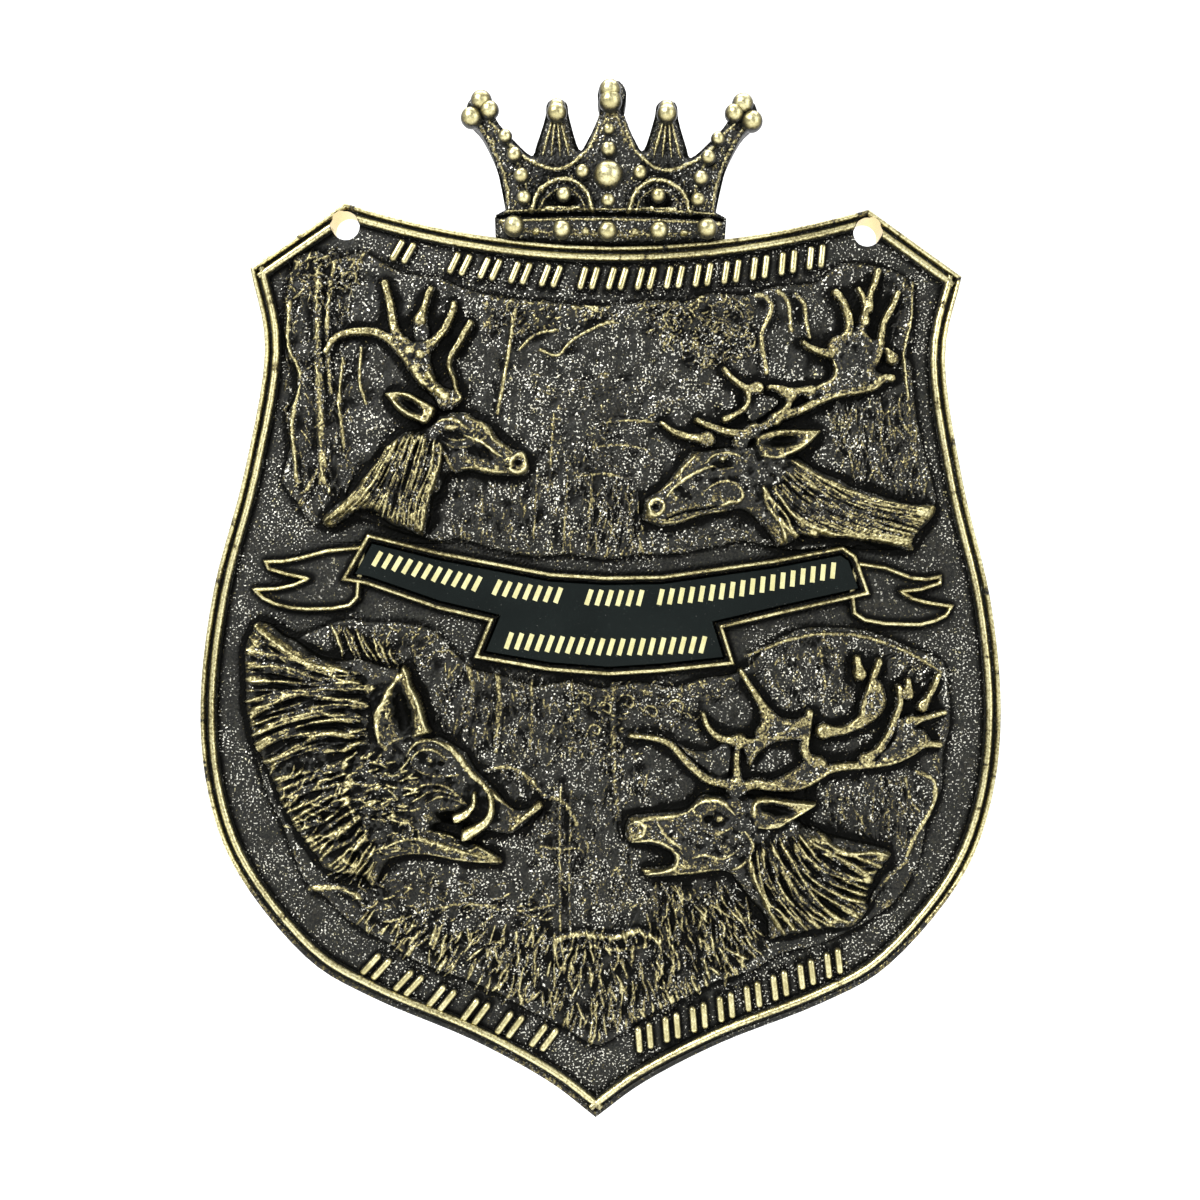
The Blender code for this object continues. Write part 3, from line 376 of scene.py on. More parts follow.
    def swell(self, centre, size, amount, turn=0.0, polish=0.0):
        """A soft oval swelling, or a hollow where the amount is negative."""
        part = self.window([centre], max(size))
        if part is None:
            return
        c, s = math.cos(math.radians(turn)), math.sin(math.radians(turn))
        dx, dz = self.x[part] - centre[0], self.z[part] - centre[1]
        u, v = (dx * c + dz * s) / size[0], (dz * c - dx * s) / size[1]
        over = np.clip(1 - u ** 2 - v ** 2, 0, 1) ** 1.5
        self.h[part] += amount * over
        if polish:
            self.polish[part] = np.maximum(self.polish[part], polish * over)

    def strands(self, guides, count, pieces, width, rise, seed, wander=0.35, polish=0.0):
        """Locks of hair that run between guides, each row cut into a few tapering locks."""
        rng = np.random.default_rng(seed)
        ends = [smooth(guide, steps=6) for guide in guides]
        fine = np.linspace(0, 1, 13)
        layer = np.zeros(self.h.shape)
        lines = []
        for path in ends:
            reach = np.concatenate([[0], np.cumsum(np.linalg.norm(np.diff(path, axis=0), axis=1))])
            lines.append(np.stack([np.interp(fine * reach[-1], reach, path[:, k])
                                   for k in range(2)], 1))
        for row in range(count):
            place = (row + rng.uniform(-0.25, 0.25)) / max(count - 1, 1) * (len(lines) - 1)
            k = int(np.clip(math.floor(place), 0, len(lines) - 2))
            line = lines[k] * (1 - place + k) + lines[k + 1] * (place - k)
            line = line + wander * np.sin(fine * rng.uniform(4, 9) + rng.uniform(0, 6))[:, None] \
                * rng.uniform(-1, 1, 2)
            cuts = np.sort(rng.uniform(0, 1, pieces - 1)) if pieces > 1 else []
            starts = np.concatenate([[rng.uniform(0, 0.12)], cuts])
            stops = np.concatenate([cuts, [rng.uniform(0.93, 1)]])
            for start, stop in zip(starts, stops):
                t = np.linspace(start, min(stop + 0.06, 1), 5)
                lock = np.stack([np.interp(t, fine, line[:, j]) for j in range(2)], 1)
                self.mark(lock, width * rng.uniform(0.75, 1.25), rise * rng.uniform(0.6, 1.2),
                          polish * rng.uniform(0.3, 1.0), steps=2, onto=layer)
        self.h += layer

    def scattered(self, region, count, length, width, rise, angle, seed, curl=0.0, polish=0.0):
        """Short strokes scattered over a region; angle gives each one's direction in degrees."""
        rng = np.random.default_rng(seed)
        ring = np.asarray(region, float)
        low, high = ring.min(0), ring.max(0)
        layer = np.zeros(self.h.shape)
        made = 0
        while made < count:
            x, z = rng.uniform(low, high)
            if not inside(x, z, ring):
                continue
            made += 1
            turn = math.radians(angle(x, z) + rng.normal(0, 9 + 60 * curl))
            bend = rng.uniform(-curl, curl)
            reach = length * rng.uniform(0.5, 1.3) / 2
            along = np.array([math.cos(turn), math.sin(turn)])
            across = np.array([-along[1], along[0]])
            line = [(x, z) + along * reach * t + across * bend * reach * (t * t - 1)
                    for t in (-1, -0.35, 0.35, 1)]
            self.mark(line, width * rng.uniform(0.7, 1.3), rise * rng.uniform(0.5, 1.3),
                      polish * rng.uniform(0.2, 1.0), steps=2, onto=layer)
        self.h += layer


def inside(x, z, ring):
    """Whether a place lies inside a closed outline."""
    crossed = False
    for (ax, az), (bx, bz) in zip(ring, np.roll(ring, -1, 0)):
        if (az > z) != (bz > z) and x < ax + (z - az) * (bx - ax) / (bz - az):
            crossed = not crossed
    return crossed


# Tines: the points from tip to root, and the width at the root and at the tip
STAG_OUTLINE = [(-25, -33.3), (-23.4, -34.3), (-21.6, -34.9), (-20.2, -35.9), (-19, -37.7),
                (-17.5, -39), (-15.8, -39.9), (-14.3, -40.2), (-13.6, -41.5), (-13.3, -43.9),
                (-14.6, -44.8), (-17.5, -44.9), (-19.9, -44.8), (-22.2, -44.5), (-24.3, -44),
                (-26.1, -44.5), (-27.5, -44.5), (-28.4, -45.9), (-29.3, -47.7), (-30.5, -49.2),
                (-30.8, -51.5), (-31.4, -53.9), (-32.2, -55.6), (-33.4, -55.4), (-35.2, -54.6),
                (-37.5, -53.9), (-39, -53), (-40.2, -51.8), (-41.6, -51.2), (-43.7, -51.2),
                (-45.2, -52.1), (-46.9, -53.3), (-48.7, -54.3), (-50.2, -53.9), (-50.2, -52.4),
                (-47.5, -49.8), (-45.5, -48.3), (-43.7, -45.9), (-41.9, -43.9), (-40.2, -42.1),
                (-39, -39.8), (-37.2, -38), (-35.2, -36.8), (-32.8, -36.5), (-29.5, -33.8)]
STAG_TINES = [([(-50, -22.8), (-48.5, -20.5), (-46, -19.4), (-42, -19.2), (-39.5, -20),
                (-37.5, -21.6), (-36, -23.2), (-34.2, -24.6)], 2.2, 1.2),
              ([(-39.6, -10.5), (-39, -12.8), (-38.5, -14.8), (-38.2, -16.6), (-37.9, -18.2),
                (-37, -21)], 2.0, 1.5),
              ([(-31.3, -11.4), (-31.8, -12.5), (-32.4, -14.6), (-33.2, -17.1)], 1.6, 1.2),
              ([(-27.2, -14.1), (-27.4, -15.5), (-28.1, -17.1), (-29, -18.9), (-30.4, -20.5),
                (-31.5, -21.4), (-33.5, -22.4)], 1.9, 1.4),
              ([(-24.2, -17.5), (-25.4, -19.6), (-26.5, -21.6), (-27.6, -23.5), (-27.9, -25.3),
                (-27, -27.5), (-26.5, -29.6), (-25.8, -31), (-27.4, -31.9)], 0.8, 1.4),
              ([(-36, -21), (-34.5, -22.5), (-33.5, -24.5), (-32.5, -27), (-30.8, -29),
                (-28.3, -31.2)], 2.6, 2.2)]
STAG_WEBS = [([(-37.2, -21), (-35.1, -21), (-33.5, -21.6), (-31.2, -20.8), (-29.8, -21.3),
               (-31.2, -23.3), (-30.5, -26.4), (-29.7, -29.1), (-27.9, -31.4), (-29.5, -31.5),
               (-33.5, -28.4), (-35, -26.1), (-36, -23.7)], 1.7),
             ([(-34.2, -17.1), (-32, -16.9), (-31.2, -20.9), (-33.5, -21.6), (-34.5, -21)], 1.0)]
STAG_KNOBS = [(-34, -26), (-33.5, -27.3), (-31.5, -27.1), (-30.6, -27.5), (-32.6, -28.5),
              (-29.5, -29.8), (-28.5, -30.7), (-33, -23.4), (-35, -22.6)]
STAG_EAR = [(-39.4, -30.4), (-37.5, -29.8), (-34.9, -30.1), (-32.2, -31.5), (-29.9, -33),
            (-31.6, -36.1), (-34, -35.2), (-36.1, -34.2), (-37.5, -33), (-38.6, -31.5)]
STAG_NECK = [[(-38.6, -39.2), (-42.2, -45.4), (-46, -50), (-49.6, -53.4)],
             [(-35.8, -37.4), (-38.6, -44), (-41.4, -48.6), (-44.4, -51.4)],
             [(-33.2, -36.9), (-35.4, -43.4), (-37.6, -49), (-39, -52.6)],
             [(-30.8, -37.6), (-32.2, -44), (-34.2, -50), (-34.8, -54.2)],
             [(-28.8, -39.6), (-29.2, -44), (-31.2, -50), (-32.4, -55)]]

BUCK_OUTLINE = [(24.4, -38.8), (18, -39.6), (15.6, -40), (14, -41.8), (12.4, -44), (10.6, -46.4),
                (8.6, -47.8), (7.4, -48.8), (7, -51.2), (7.2, -52.4), (9.6, -53.4),
                (12.4, -53.4), (15.2, -52.4), (18, -51.4), (20.8, -51), (24.4, -50.4),
                (26.4, -51.2), (28, -52.8), (29.6, -54.4), (31.6, -56.8), (34, -56),
                (35.6, -54.8), (38, -55.2), (43.6, -55.2), (47.2, -55.8), (51.2, -56.4),
                (55.8, -57.2), (55.6, -55.2), (59.2, -51.2), (59.4, -49), (55.2, -48.8),
                (52.4, -48), (49.2, -47.2), (45.2, -46), (42, -44.4), (38.8, -43.2),
                (36, -41.4), (34.4, -40.4), (29, -38.4)]
BUCK_PALM = [(34.6, -28.9), (36.7, -28.5), (38.5, -27.4), (40.3, -26.4), (40.8, -24.9),
             (40.3, -23.1), (39.6, -21.6), (42.2, -20.2), (44.3, -17.4), (46.4, -16.2),
             (47.4, -19), (49.2, -19.4), (49.2, -21.4), (48.6, -24.4), (50.6, -26.4),
             (48.1, -28), (44, -28.9), (40.5, -29.9), (36.5, -30.8)]
BUCK_WEBS = [([(29.2, -27.9), (32.2, -28.5), (34.8, -28.3), (38.6, -27.9), (35.2, -29.9),
               (33.5, -31.4), (32.2, -30.6), (30.9, -29.5)], 2.0),
             ([(35.7, -20.3), (38.1, -20.9), (40, -21.3), (42.3, -20), (43.6, -19.4),
               (42.3, -21.3), (41.1, -23.2), (40.2, -23.3), (39.1, -22)], 2.0),
             ([(22.8, -26.7), (24.6, -28.1), (28, -28.5), (26.7, -29.8), (25.9, -31.5),
               (25.2, -29.8)], 1.8)]
BUCK_TINES = [([(10.3, -34.9), (12.4, -36.4), (14.9, -37.3), (18.5, -37.8)], 1.9, 0.9),
              ([(16.7, -34.4), (19.2, -35.5), (22.1, -36.4), (24.9, -36.7), (27, -36.2)],
               2.0, 1.2),
              ([(51.4, -26.4), (49.9, -26.5), (48.1, -28), (45.3, -28.7), (41.7, -29.4),
                (38.5, -30.6), (35.6, -32.1), (31, -33.9), (28.9, -35.3), (26.4, -36.4),
                (24.5, -38.4)], 2.0, 1.6),
              ([(29.6, -28.3), (32.4, -28.7), (33.1, -30.3), (32.6, -32.1), (30.6, -34.2)],
               1.7, 1.1),
              ([(32.4, -28.9), (34.6, -28.9), (37, -29)], 1.5, 1.3),
              ([(35.6, -20.3), (37.4, -21.4), (39.9, -22.1), (41, -21.4)], 1.8, 1.1),
              ([(41.2, -11.2), (42.1, -12.1), (43.1, -14.2), (43.7, -16.7), (43.3, -18.9),
                (41.7, -20.6)], 2.1, 1.5),
              ([(45.3, -10.6), (46.4, -13.1), (46.4, -16.4)], 1.3, 1.1),
              ([(45.6, -17.8), (46.9, -20.3)], 1.5, 1.2),
              ([(48.7, -7.4), (48.1, -9.6), (47.4, -11.4), (47, -14)], 1.3, 1.4),
              ([(52.3, -11.2), (51.4, -13.5), (49.9, -16.4), (49.4, -19.2), (49.2, -21.4),
                (48.1, -23.9), (46, -27)], 1.8, 1.3),
              ([(50.3, -21.4), (51.4, -22.9)], 1.5, 1.0),
              ([(21.4, -25.1), (22.8, -26.7), (25.3, -28.5), (27.4, -28.5)], 1.5, 1.0),
              ([(25.4, -28.6), (25.8, -30.6), (24.9, -32.4), (21.7, -34.2)], 0.9, 1.3)]
BUCK_EAR = [(26.8, -37.6), (30, -36), (34, -35.7), (38.8, -35.9), (38, -37.2), (36, -39.2),
            (33.6, -40.6), (30.8, -41.2), (28, -41)]
BUCK_NECK = [[(33.5, -41.2), (40, -44.8), (48, -48), (57.8, -49.8)],
             [(32.5, -43.4), (39, -48), (47, -52), (56.5, -54.6)],
             [(31.4, -45.2), (36, -50), (44, -53.6), (54.6, -56.6)],
             [(30, -46.2), (33, -50.4), (37.4, -53.6), (43, -55)],
             [(28, -46), (29.6, -50), (31.4, -53.6), (32.8, -56)]]

BOAR_OUTLINE = [(-61.9, -71.5), (-59.5, -71.9), (-57.1, -73.7), (-54.6, -74.8), (-51.9, -76.6),
                (-49.8, -77.6), (-46.5, -78), (-43.6, -77.7), (-41.1, -78.4), (-38.7, -79.1),
                (-35.8, -79.4), (-33.6, -82.3), (-31.4, -86.9), (-30.2, -91), (-28.6, -91.5),
                (-26, -93), (-23.8, -94.6), (-22.3, -97), (-20.1, -99.3), (-18.2, -101.1),
                (-16.7, -103.3), (-15.3, -104.3), (-13.4, -104.3), (-12.3, -103.7),
                (-10.6, -103.6), (-11.6, -105.6), (-15.4, -108.8), (-18.6, -108.7),
                (-21.6, -108.5), (-25, -107), (-27.5, -106.8), (-29.5, -108), (-25, -109.8),
                (-21.6, -110.9), (-19, -112.2), (-17.1, -113.7), (-18.2, -114.6),
                (-21.6, -114.3), (-25.2, -114.1), (-30.1, -113), (-34.5, -113),
                (-37.1, -113.7), (-38.5, -115.2), (-40.4, -118.9), (-42.3, -116.7),
                (-46, -116.4), (-49.3, -115.6), (-50.4, -113.7), (-53, -110.4), (-56, -106),
                (-58.4, -100.5), (-60.9, -95.3), (-61.9, -93.7), (-62.8, -90.2),
                (-63.6, -86.9), (-63.7, -83.1), (-64, -76.4), (-62.6, -73)]
BOAR_EAR = [(-35.5, -78.8), (-36.5, -81), (-38.7, -83.1), (-39.6, -85.3), (-40.9, -87.5),
            (-40.7, -90.2), (-40.1, -92.3), (-38.4, -94.5), (-36.8, -93.1), (-33.4, -92),
            (-30.1, -91), (-30.7, -89.4), (-31.4, -86.9), (-32.2, -84.5), (-33.6, -82.3),
            (-34.1, -79.9)]
BOAR_MANE = [[(-44, -80), (-51, -79), (-57.6, -75.6), (-62, -72.4)],
             [(-41.6, -81.6), (-50, -81), (-57.4, -78.6), (-63.8, -76.6)],
             [(-41, -83.8), (-49.6, -83.4), (-57, -84), (-63.6, -85.4)],
             [(-41.6, -86.8), (-49.6, -86.2), (-57.4, -87.9), (-62.8, -90.4)],
             [(-41.6, -90), (-49, -89.8), (-56, -91.2), (-61.6, -94.4)],
             [(-41.4, -93.4), (-49, -93.4), (-55, -95), (-60, -98)]]
BOAR_CREST = [[(-48.6, -71.6), (-47.2, -73.7), (-46, -77.6)],
              [(-43.6, -72.6), (-42.4, -75.4), (-40.4, -78.4)],
              [(-38.6, -75.6), (-37.8, -77.4), (-36.6, -79.8)]]
BOAR_RUFF = [[(-43.6, -95.4), (-48, -96.6), (-53, -98.4), (-58.4, -100.4)],
             [(-43.8, -99), (-47.6, -101), (-52, -103), (-56.4, -105)],
             [(-42.8, -103), (-46.6, -105.6), (-50, -108), (-53.6, -110)],
             [(-41.4, -107), (-44.2, -109.8), (-47, -112), (-50, -114)],
             [(-39.6, -111), (-41.4, -113.8), (-42.6, -116), (-43.4, -117.6)]]

ROAR_OUTLINE = [(20, -101.2), (18.1, -101.5), (16.3, -103.2), (14.8, -104.1), (11.1, -104.5),
                (7.8, -104.9), (5.6, -105.4), (4.6, -107.3), (4.8, -109.5), (5.9, -110.4),
                (9, -110.6), (12, -111.5), (13.2, -112.8), (12.2, -114.2), (9.4, -114.5),
                (7.6, -115), (8.9, -116.3), (11.9, -116.3), (14.8, -116), (17.8, -115.8),
                (20.7, -115.2), (23, -115.2), (24.4, -116.5), (25.9, -118.2), (27.4, -120.2),
                (29.3, -122.4), (30.4, -124.7), (30.9, -127.3), (33.3, -126.5), (36.3, -126.1),
                (40, -125.2), (43.7, -125.2), (45.9, -124.7), (47.4, -123.2), (48.5, -121.3),
                (48.1, -119.5), (49.8, -115), (52.6, -111.7), (50, -110.2), (46.3, -109.5),
                (42.6, -108.6), (40, -108), (37, -106.9), (35.2, -105.2), (29, -102),
                (24.5, -101.4)]
ROAR_TINES = [([(5.4, -91.1), (9.2, -91.4), (12.4, -92.4), (14.4, -94.4), (16.8, -96.8),
                (19.6, -98.8), (24.4, -99.6)], 2.1, 1.0),
              ([(18.4, -87), (19.2, -89.2), (21.2, -91.2), (23.2, -91.6), (25, -91.8)], 1.8, 1.0),
              ([(24.7, -92.2), (24.4, -95.2), (24.6, -98.4), (24.8, -100.4)], 2.2, 1.0),
              ([(25, -79.2), (26.8, -82), (28.8, -85.2), (29.6, -88), (29.2, -90.4)], 2.0, 1.0),
              ([(23, -91.5), (28, -91.6), (32, -90.4), (36.4, -88.2)], 1.3, 1.0),
              ([(37.4, -86.6), (37, -89.6), (36.6, -92.8), (37.2, -94.4), (39.2, -95.8)],
               2.0, 1.6),
              ([(60.8, -92), (58, -92), (55.6, -93.6), (52.4, -95), (49.2, -95.6), (45.2, -96),
                (41.2, -96.6), (38, -98.6), (34.8, -99.8), (30.8, -99.8), (27.6, -99.4),
                (24.2, -100.6)], 2.2, 1.3),
              ([(53.4, -81.8), (53.6, -84.8), (52.6, -87.6), (51.6, -90.4), (50, -92.8),
                (47.6, -95)], 1.9, 1.3),
              ([(49.8, -77.2), (48.8, -80), (48, -82.8), (47.2, -85.2), (46.8, -87.2),
                (44, -89.5), (40, -89.8)], 1.9, 1.5),
              ([(45.8, -76.8), (46.4, -79.6)], 1.5, 1.5),
              ([(55, -80.6), (55, -83)], 1.4, 1.3),
              ([(60.4, -79.6), (59.2, -82.4), (57.6, -85.2)], 1.4, 1.2),
              ([(61.6, -86.2), (58, -87.2), (55.4, -88)], 1.6, 1.1)]
ROAR_WEBS = [([(13.8, -92.3), (17, -93.6), (20.2, -93.3), (22.1, -91.7), (23.4, -92.1),
               (23.9, -94), (23.5, -97.2), (22.2, -99.1), (19.4, -97.7), (16.1, -95)], 1.0),
             ([(28.4, -83.8), (30.5, -85.6), (32.6, -87.4), (36.3, -87.6), (37.6, -88.3),
               (36.8, -91.5), (34.5, -91.6), (31.3, -92.1), (28.5, -93.9), (26.9, -96.5),
               (26, -94.4), (25.1, -92.1), (27.6, -91), (29.1, -88.9)], 1.6),
             ([(36.8, -94.3), (35.9, -95.7), (32.2, -98), (28.6, -99.7), (34.6, -100.3),
               (37.8, -98.4), (41.4, -97), (39.1, -95.6)], 1.6),
             ([(47.2, -85), (48.8, -80.4), (50.6, -81.3), (51.2, -85.4), (48.2, -88.6),
               (44.5, -90.1), (39.7, -90.3), (42.7, -89.2), (45.9, -87.7)], 1.8),
             ([(49.2, -94.6), (52.1, -91.3), (53.2, -87.2), (55.5, -88.1), (57.4, -89.9),
               (58.8, -91.7), (55.6, -93.6), (51.5, -95.7)], 1.7)]
ROAR_CROWN = [(50.4, -93.8), (52.6, -90.6), (54.4, -88), (56.4, -88.4), (58.4, -89.6),
              (59.6, -92), (57, -93.2), (53.6, -94.8), (50, -95.4), (46, -95.8)]
ROAR_EAR = [(27.4, -102.1), (29.6, -101.5), (33.3, -101.9), (38.9, -102.6), (37, -104.3),
            (34.1, -106), (31.5, -107.1), (28.1, -107.1), (26.8, -104.6)]
ROAR_NECK = [[(37, -107.4), (41, -109.4), (46, -111), (51.4, -112)],
             [(34.6, -108), (38, -112.4), (43, -115.4), (48.6, -117.4)],
             [(32, -108.6), (34.4, -113.4), (39, -118.4), (46.6, -122.6)],
             [(29.6, -109), (31.4, -114), (35, -120), (40.6, -125)],
             [(27.6, -112), (28, -116.4), (30.4, -121), (33.6, -126)]]

UPPER_FIELD = [(-56, -6), (-52, -4.6), (-48, -6), (-44, -4.4), (-40, -6.6), (-36, -8.4),
               (-30, -9), (-26, -10.8), (-18, -12.6), (-10, -13.2), (0, -13.8), (8, -12.6),
               (14, -13), (19, -11.2), (25, -11.6), (31, -9.8), (38, -9.2), (42, -5.6),
               (48, -6), (54, -8), (55.4, -14), (54.4, -20), (55.4, -26), (56.4, -34),
               (58.4, -42), (60, -48), (58.6, -52), (55.6, -57.2), (48, -56.4), (40, -57.2),
               (33, -57.4), (25, -55.8), (15, -58.2), (6, -58.6), (0, -59.6), (-6, -58.6),
               (-12, -59.2), (-20, -57.8), (-26, -56), (-30, -56.6), (-38, -54.6),
               (-45, -52.2), (-52, -54), (-55, -50), (-58, -46), (-56.4, -40), (-57.4, -35),
               (-54.6, -28), (-57.4, -22), (-57.8, -15)]
LOWER_FIELD = [(-53, -118), (-49, -121), (-45, -125), (-38, -129), (-32, -132.6), (-25, -135),
               (-18, -137.8), (-12, -141), (-5, -144.4), (0, -147), (5, -144.6), (10, -141),
               (16, -138.2), (22, -135), (27.6, -133.4), (33, -130), (39, -128.6),
               (45, -126), (53, -121), (56, -116.4), (58, -112), (59, -106), (61.6, -100),
               (61.8, -94), (63, -88), (62.6, -82), (61.6, -77), (55, -74.4), (48, -71.6),
               (40, -71.1), (35, -71.8), (30, -74.6), (27, -78), (23, -80), (18, -80.6),
               (13, -82.4), (7, -81.4), (0, -82.6), (-6, -81.4), (-12, -82.4), (-18, -80.4),
               (-23, -79.4), (-27.1, -75.8), (-28.2, -74.2), (-30.9, -72.3), (-34.1, -71.5),
               (-37.6, -71.2), (-41.7, -71.2), (-45.5, -70.8), (-48.7, -71.5), (-52, -73),
               (-57, -75), (-61, -76), (-62, -96), (-57, -108)]

# Trees: a path and its width, and in the lower field its rise and polish
UPPER_TREES = [
    ([(-51.6, -8), (-51.8, -16), (-51.4, -24), (-51, -34), (-50.4, -46)], 2.0),
    ([(-48.8, -7), (-49.8, -14), (-49.8, -22), (-49.2, -30)], 1.2),
    ([(-56.6, -14), (-57, -22), (-54.8, -27), (-56, -36), (-55, -46)], 1.1),
    ([(-47, -24), (-47.6, -32), (-46.6, -40)], 1.0),
    ([(-43.8, -22), (-44, -28), (-42.8, -32)], 0.9),
    ([(-16.2, -15), (-17.6, -24.3), (-19.2, -33.4)], 1.1),
    ([(-15.4, -22), (-12.6, -19.3), (-8.6, -18.4)], 0.8),
    ([(-11.6, -22), (-8.5, -23), (-6.2, -20.5), (-2.8, -18.3), (1.4, -16.6)], 0.9),
    ([(27.1, -11.7), (28.9, -12.1), (29.8, -13.9), (29.2, -16), (28.1, -18.5),
      (28.3, -21.4), (29, -25.5)], 1.4),
    ([(31, -11), (32.4, -12.1), (33, -13.9), (33.3, -18)], 1.2),
    ([(34.2, -11.5), (35.6, -13.1), (36, -16), (36.7, -19.2)], 1.2),
    ([(55.2, -9), (55, -16), (53.6, -22), (54.6, -30)], 0.8)]
LOWER_TREES = [
    ([(-6.9, -100), (-7.1, -112), (-6.7, -128)], 0.7, 0.4, 0.4),
    ([(-5.1, -101), (-5.3, -113), (-4.9, -128)], 0.6, 0.35, 0.3),
    ([(2.2, -82), (2.4, -94), (3.4, -106)], 1.3, 0.4, 0.2),
    ([(-18.6, -80), (-18.2, -86), (-18.8, -94)], 1.4, 0.5, 0.35),
    ([(-12.6, -82), (-12.2, -88), (-12.8, -95)], 1.1, 0.4, 0.3),
    ([(-24, -78), (-23, -84), (-24.6, -92)], 1.2, 0.4, 0.2),
    ([(-21, -98), (-17, -97), (-13, -98.6), (-10, -102), (-6.6, -103), (-4, -107)],
     1.2, 0.5, 0.4),
    ([(-10.4, -111.2), (-7, -111.6), (-3.6, -111.4)], 0.6, 0.4, 0.4),
    ([(-33, -123.6), (-24, -121.6), (-14, -122.8), (-8, -121.6)], 0.8, 0.4, 0.3),
    ([(-7, -127.8), (-3, -126.8), (3, -127.4), (7, -126.2), (11, -127.8)], 1.6, 0.7, 0.7),
    ([(-6, -129.6), (-1, -129), (4, -129.6), (9, -128.8)], 0.8, 0.4, 0.4),
    ([(40, -72), (39.4, -76), (40.4, -82)], 0.8, 0.35, 0.25),
    ([(57, -97), (60, -98.6), (60, -103), (57, -108), (55.4, -112)], 1.2, 0.5, 0.5),
    ([(55, -98), (55.8, -102), (57.4, -104)], 0.9, 0.4, 0.3),
    ([(26, -76.6), (33, -73.8), (40, -72.4), (48, -73), (56, -76), (61, -79)], 0.9, 0.45,
     0.3),
    ([(-52, -119.4), (-47, -119), (-43, -120.6)], 1.6, 0.6, 0.6),
    ([(55.4, -113), (51, -117), (48, -122)], 1.0, 0.4, 0.4)]
# Growth: a region, how many strokes, their length, width, rise and angle, a seed, curl and
# polish
UPPER_GROWTH = [
    ([(-57, -5), (-43, -5), (-44, -10), (-50, -14), (-57, -12)], 110, 2.4, 0.6, 0.5, 75, 51,
     0.5, 0.5),
    ([(-22, -12), (-8, -13.6), (-8, -18), (-16, -20), (-22, -18)], 120, 1.3, 0.5, 0.4, 40,
     52, 0.7, 0.5),
    ([(-6, -13.6), (2, -14), (2, -17.6), (-5, -17)], 50, 1.3, 0.5, 0.4, 30, 53, 0.7, 0.6),
    ([(6, -13.6), (18, -11.6), (26, -12.4), (27, -22), (18, -25), (9, -20)], 330, 1.6,
     0.5, 0.45, 15, 54, 0.7, 0.5),
    ([(-58, -12), (-45, -12), (-45, -48), (-54, -52), (-57, -40)], 150, 3.6, 0.5, 0.35,
     90, 55, 0.2, 0.3),
    ([(-30, -46), (-14, -45), (0, -36), (6, -46), (8, -58), (-20, -57.5), (-28, -55)],
     240, 3.2, 0.45, 0.3, 90, 56, 0.15, 0.2),
    ([(-3, -46), (7, -48), (7, -58), (-2, -58.6)], 70, 4.2, 0.5, 0.4, 86, 57, 0.15, 0.25),
    ([(-14, -26), (24, -26), (10, -34), (8, -46), (-10, -44)], 260, 2.0, 0.45, 0.25, 0, 58,
     0.4, 0.25),
    ([(40, -31), (55, -30), (58, -48), (52, -46), (42, -42)], 170, 4.2, 0.55, 0.4, 98, 59,
     0.15, 0.4),
    ([(45, -6), (55, -8), (55, -26), (51, -24), (50, -8)], 70, 2.0, 0.5, 0.35, 80, 60,
     0.5, 0.25),
    ([(8, -54), (30, -53), (30, -57), (8, -58)], 60, 1.4, 0.45, 0.3, 30, 61, 0.6, 0.2)]
LOWER_GROWTH = [
    ([(-50, -72), (-30, -72), (-26, -77), (-33, -80), (-48, -76)], 90, 1.8, 0.5, 0.4, 60,
     71, 0.6, 0.4),
    ([(-28, -78), (-2, -83), (-4, -96), (-22, -96), (-30, -88)], 200, 2.6, 0.5, 0.35, 88,
     72, 0.25, 0.3),
    ([(-6, -82), (24, -81), (18, -90), (4, -98), (-6, -94)], 220, 1.5, 0.5, 0.4, 20, 73,
     0.9, 0.4),
    ([(-20, -97), (-8, -100), (-2, -110), (-4, -120), (-14, -118), (-14, -104)], 180, 1.8,
     0.5, 0.3, 80, 74, 0.5, 0.3),
    ([(0, -96), (14, -100), (4, -104), (8, -118), (26, -118), (14, -126), (-4, -124)],
     240, 2.6, 0.5, 0.3, 88, 75, 0.25, 0.3),
    ([(26, -77), (44, -73), (46, -84), (34, -86), (27, -80)], 130, 2.8, 0.45, 0.3, 100,
     76, 0.25, 0.25),
    ([(48, -73), (60, -77), (62, -90), (60, -98), (62, -84), (52, -78)], 110, 2.0, 0.45,
     0.3, 70, 77, 0.4, 0.3),
    ([(36, -100), (56, -97), (58, -108), (54, -110), (40, -106)], 130, 3.4, 0.5, 0.35,
     100, 78, 0.2, 0.35),
    ([(-46, -118), (-30, -116), (-8, -120), (-10, -128), (-30, -130), (-44, -124)], 150,
     2.2, 0.6, 0.4, 20, 79, 0.5, 0.5)]

RIBBON = [(-42.7, -55.8), (-30, -58.8), (-10, -62.4), (0, -62.9), (10, -62.6), (30, -59.5),
          (42.3, -57), (44.5, -58.5), (46.9, -65), (32, -68.5), (20.7, -71.3),
          (22.8, -77.8), (10, -79.3), (0.7, -80), (-10, -79.3), (-23.1, -77.2),
          (-20.5, -70.6), (-30, -68.5), (-43, -64.2), (-47, -63.6)]
LEFT_TAIL = [(-43.8, -57.9), (-50, -58.6), (-55, -60), (-58, -60.6), (-61, -60.7),
             (-60.5, -61.9), (-57, -62.9), (-53.3, -63.6), (-56, -64.8), (-59, -65.5),
             (-63, -65.7), (-61.4, -67.2), (-59.3, -68.2), (-56.4, -68.9), (-53.5, -69.1),
             (-49, -68.9), (-46, -68.3), (-44.6, -66.8), (-44.4, -63.8)]
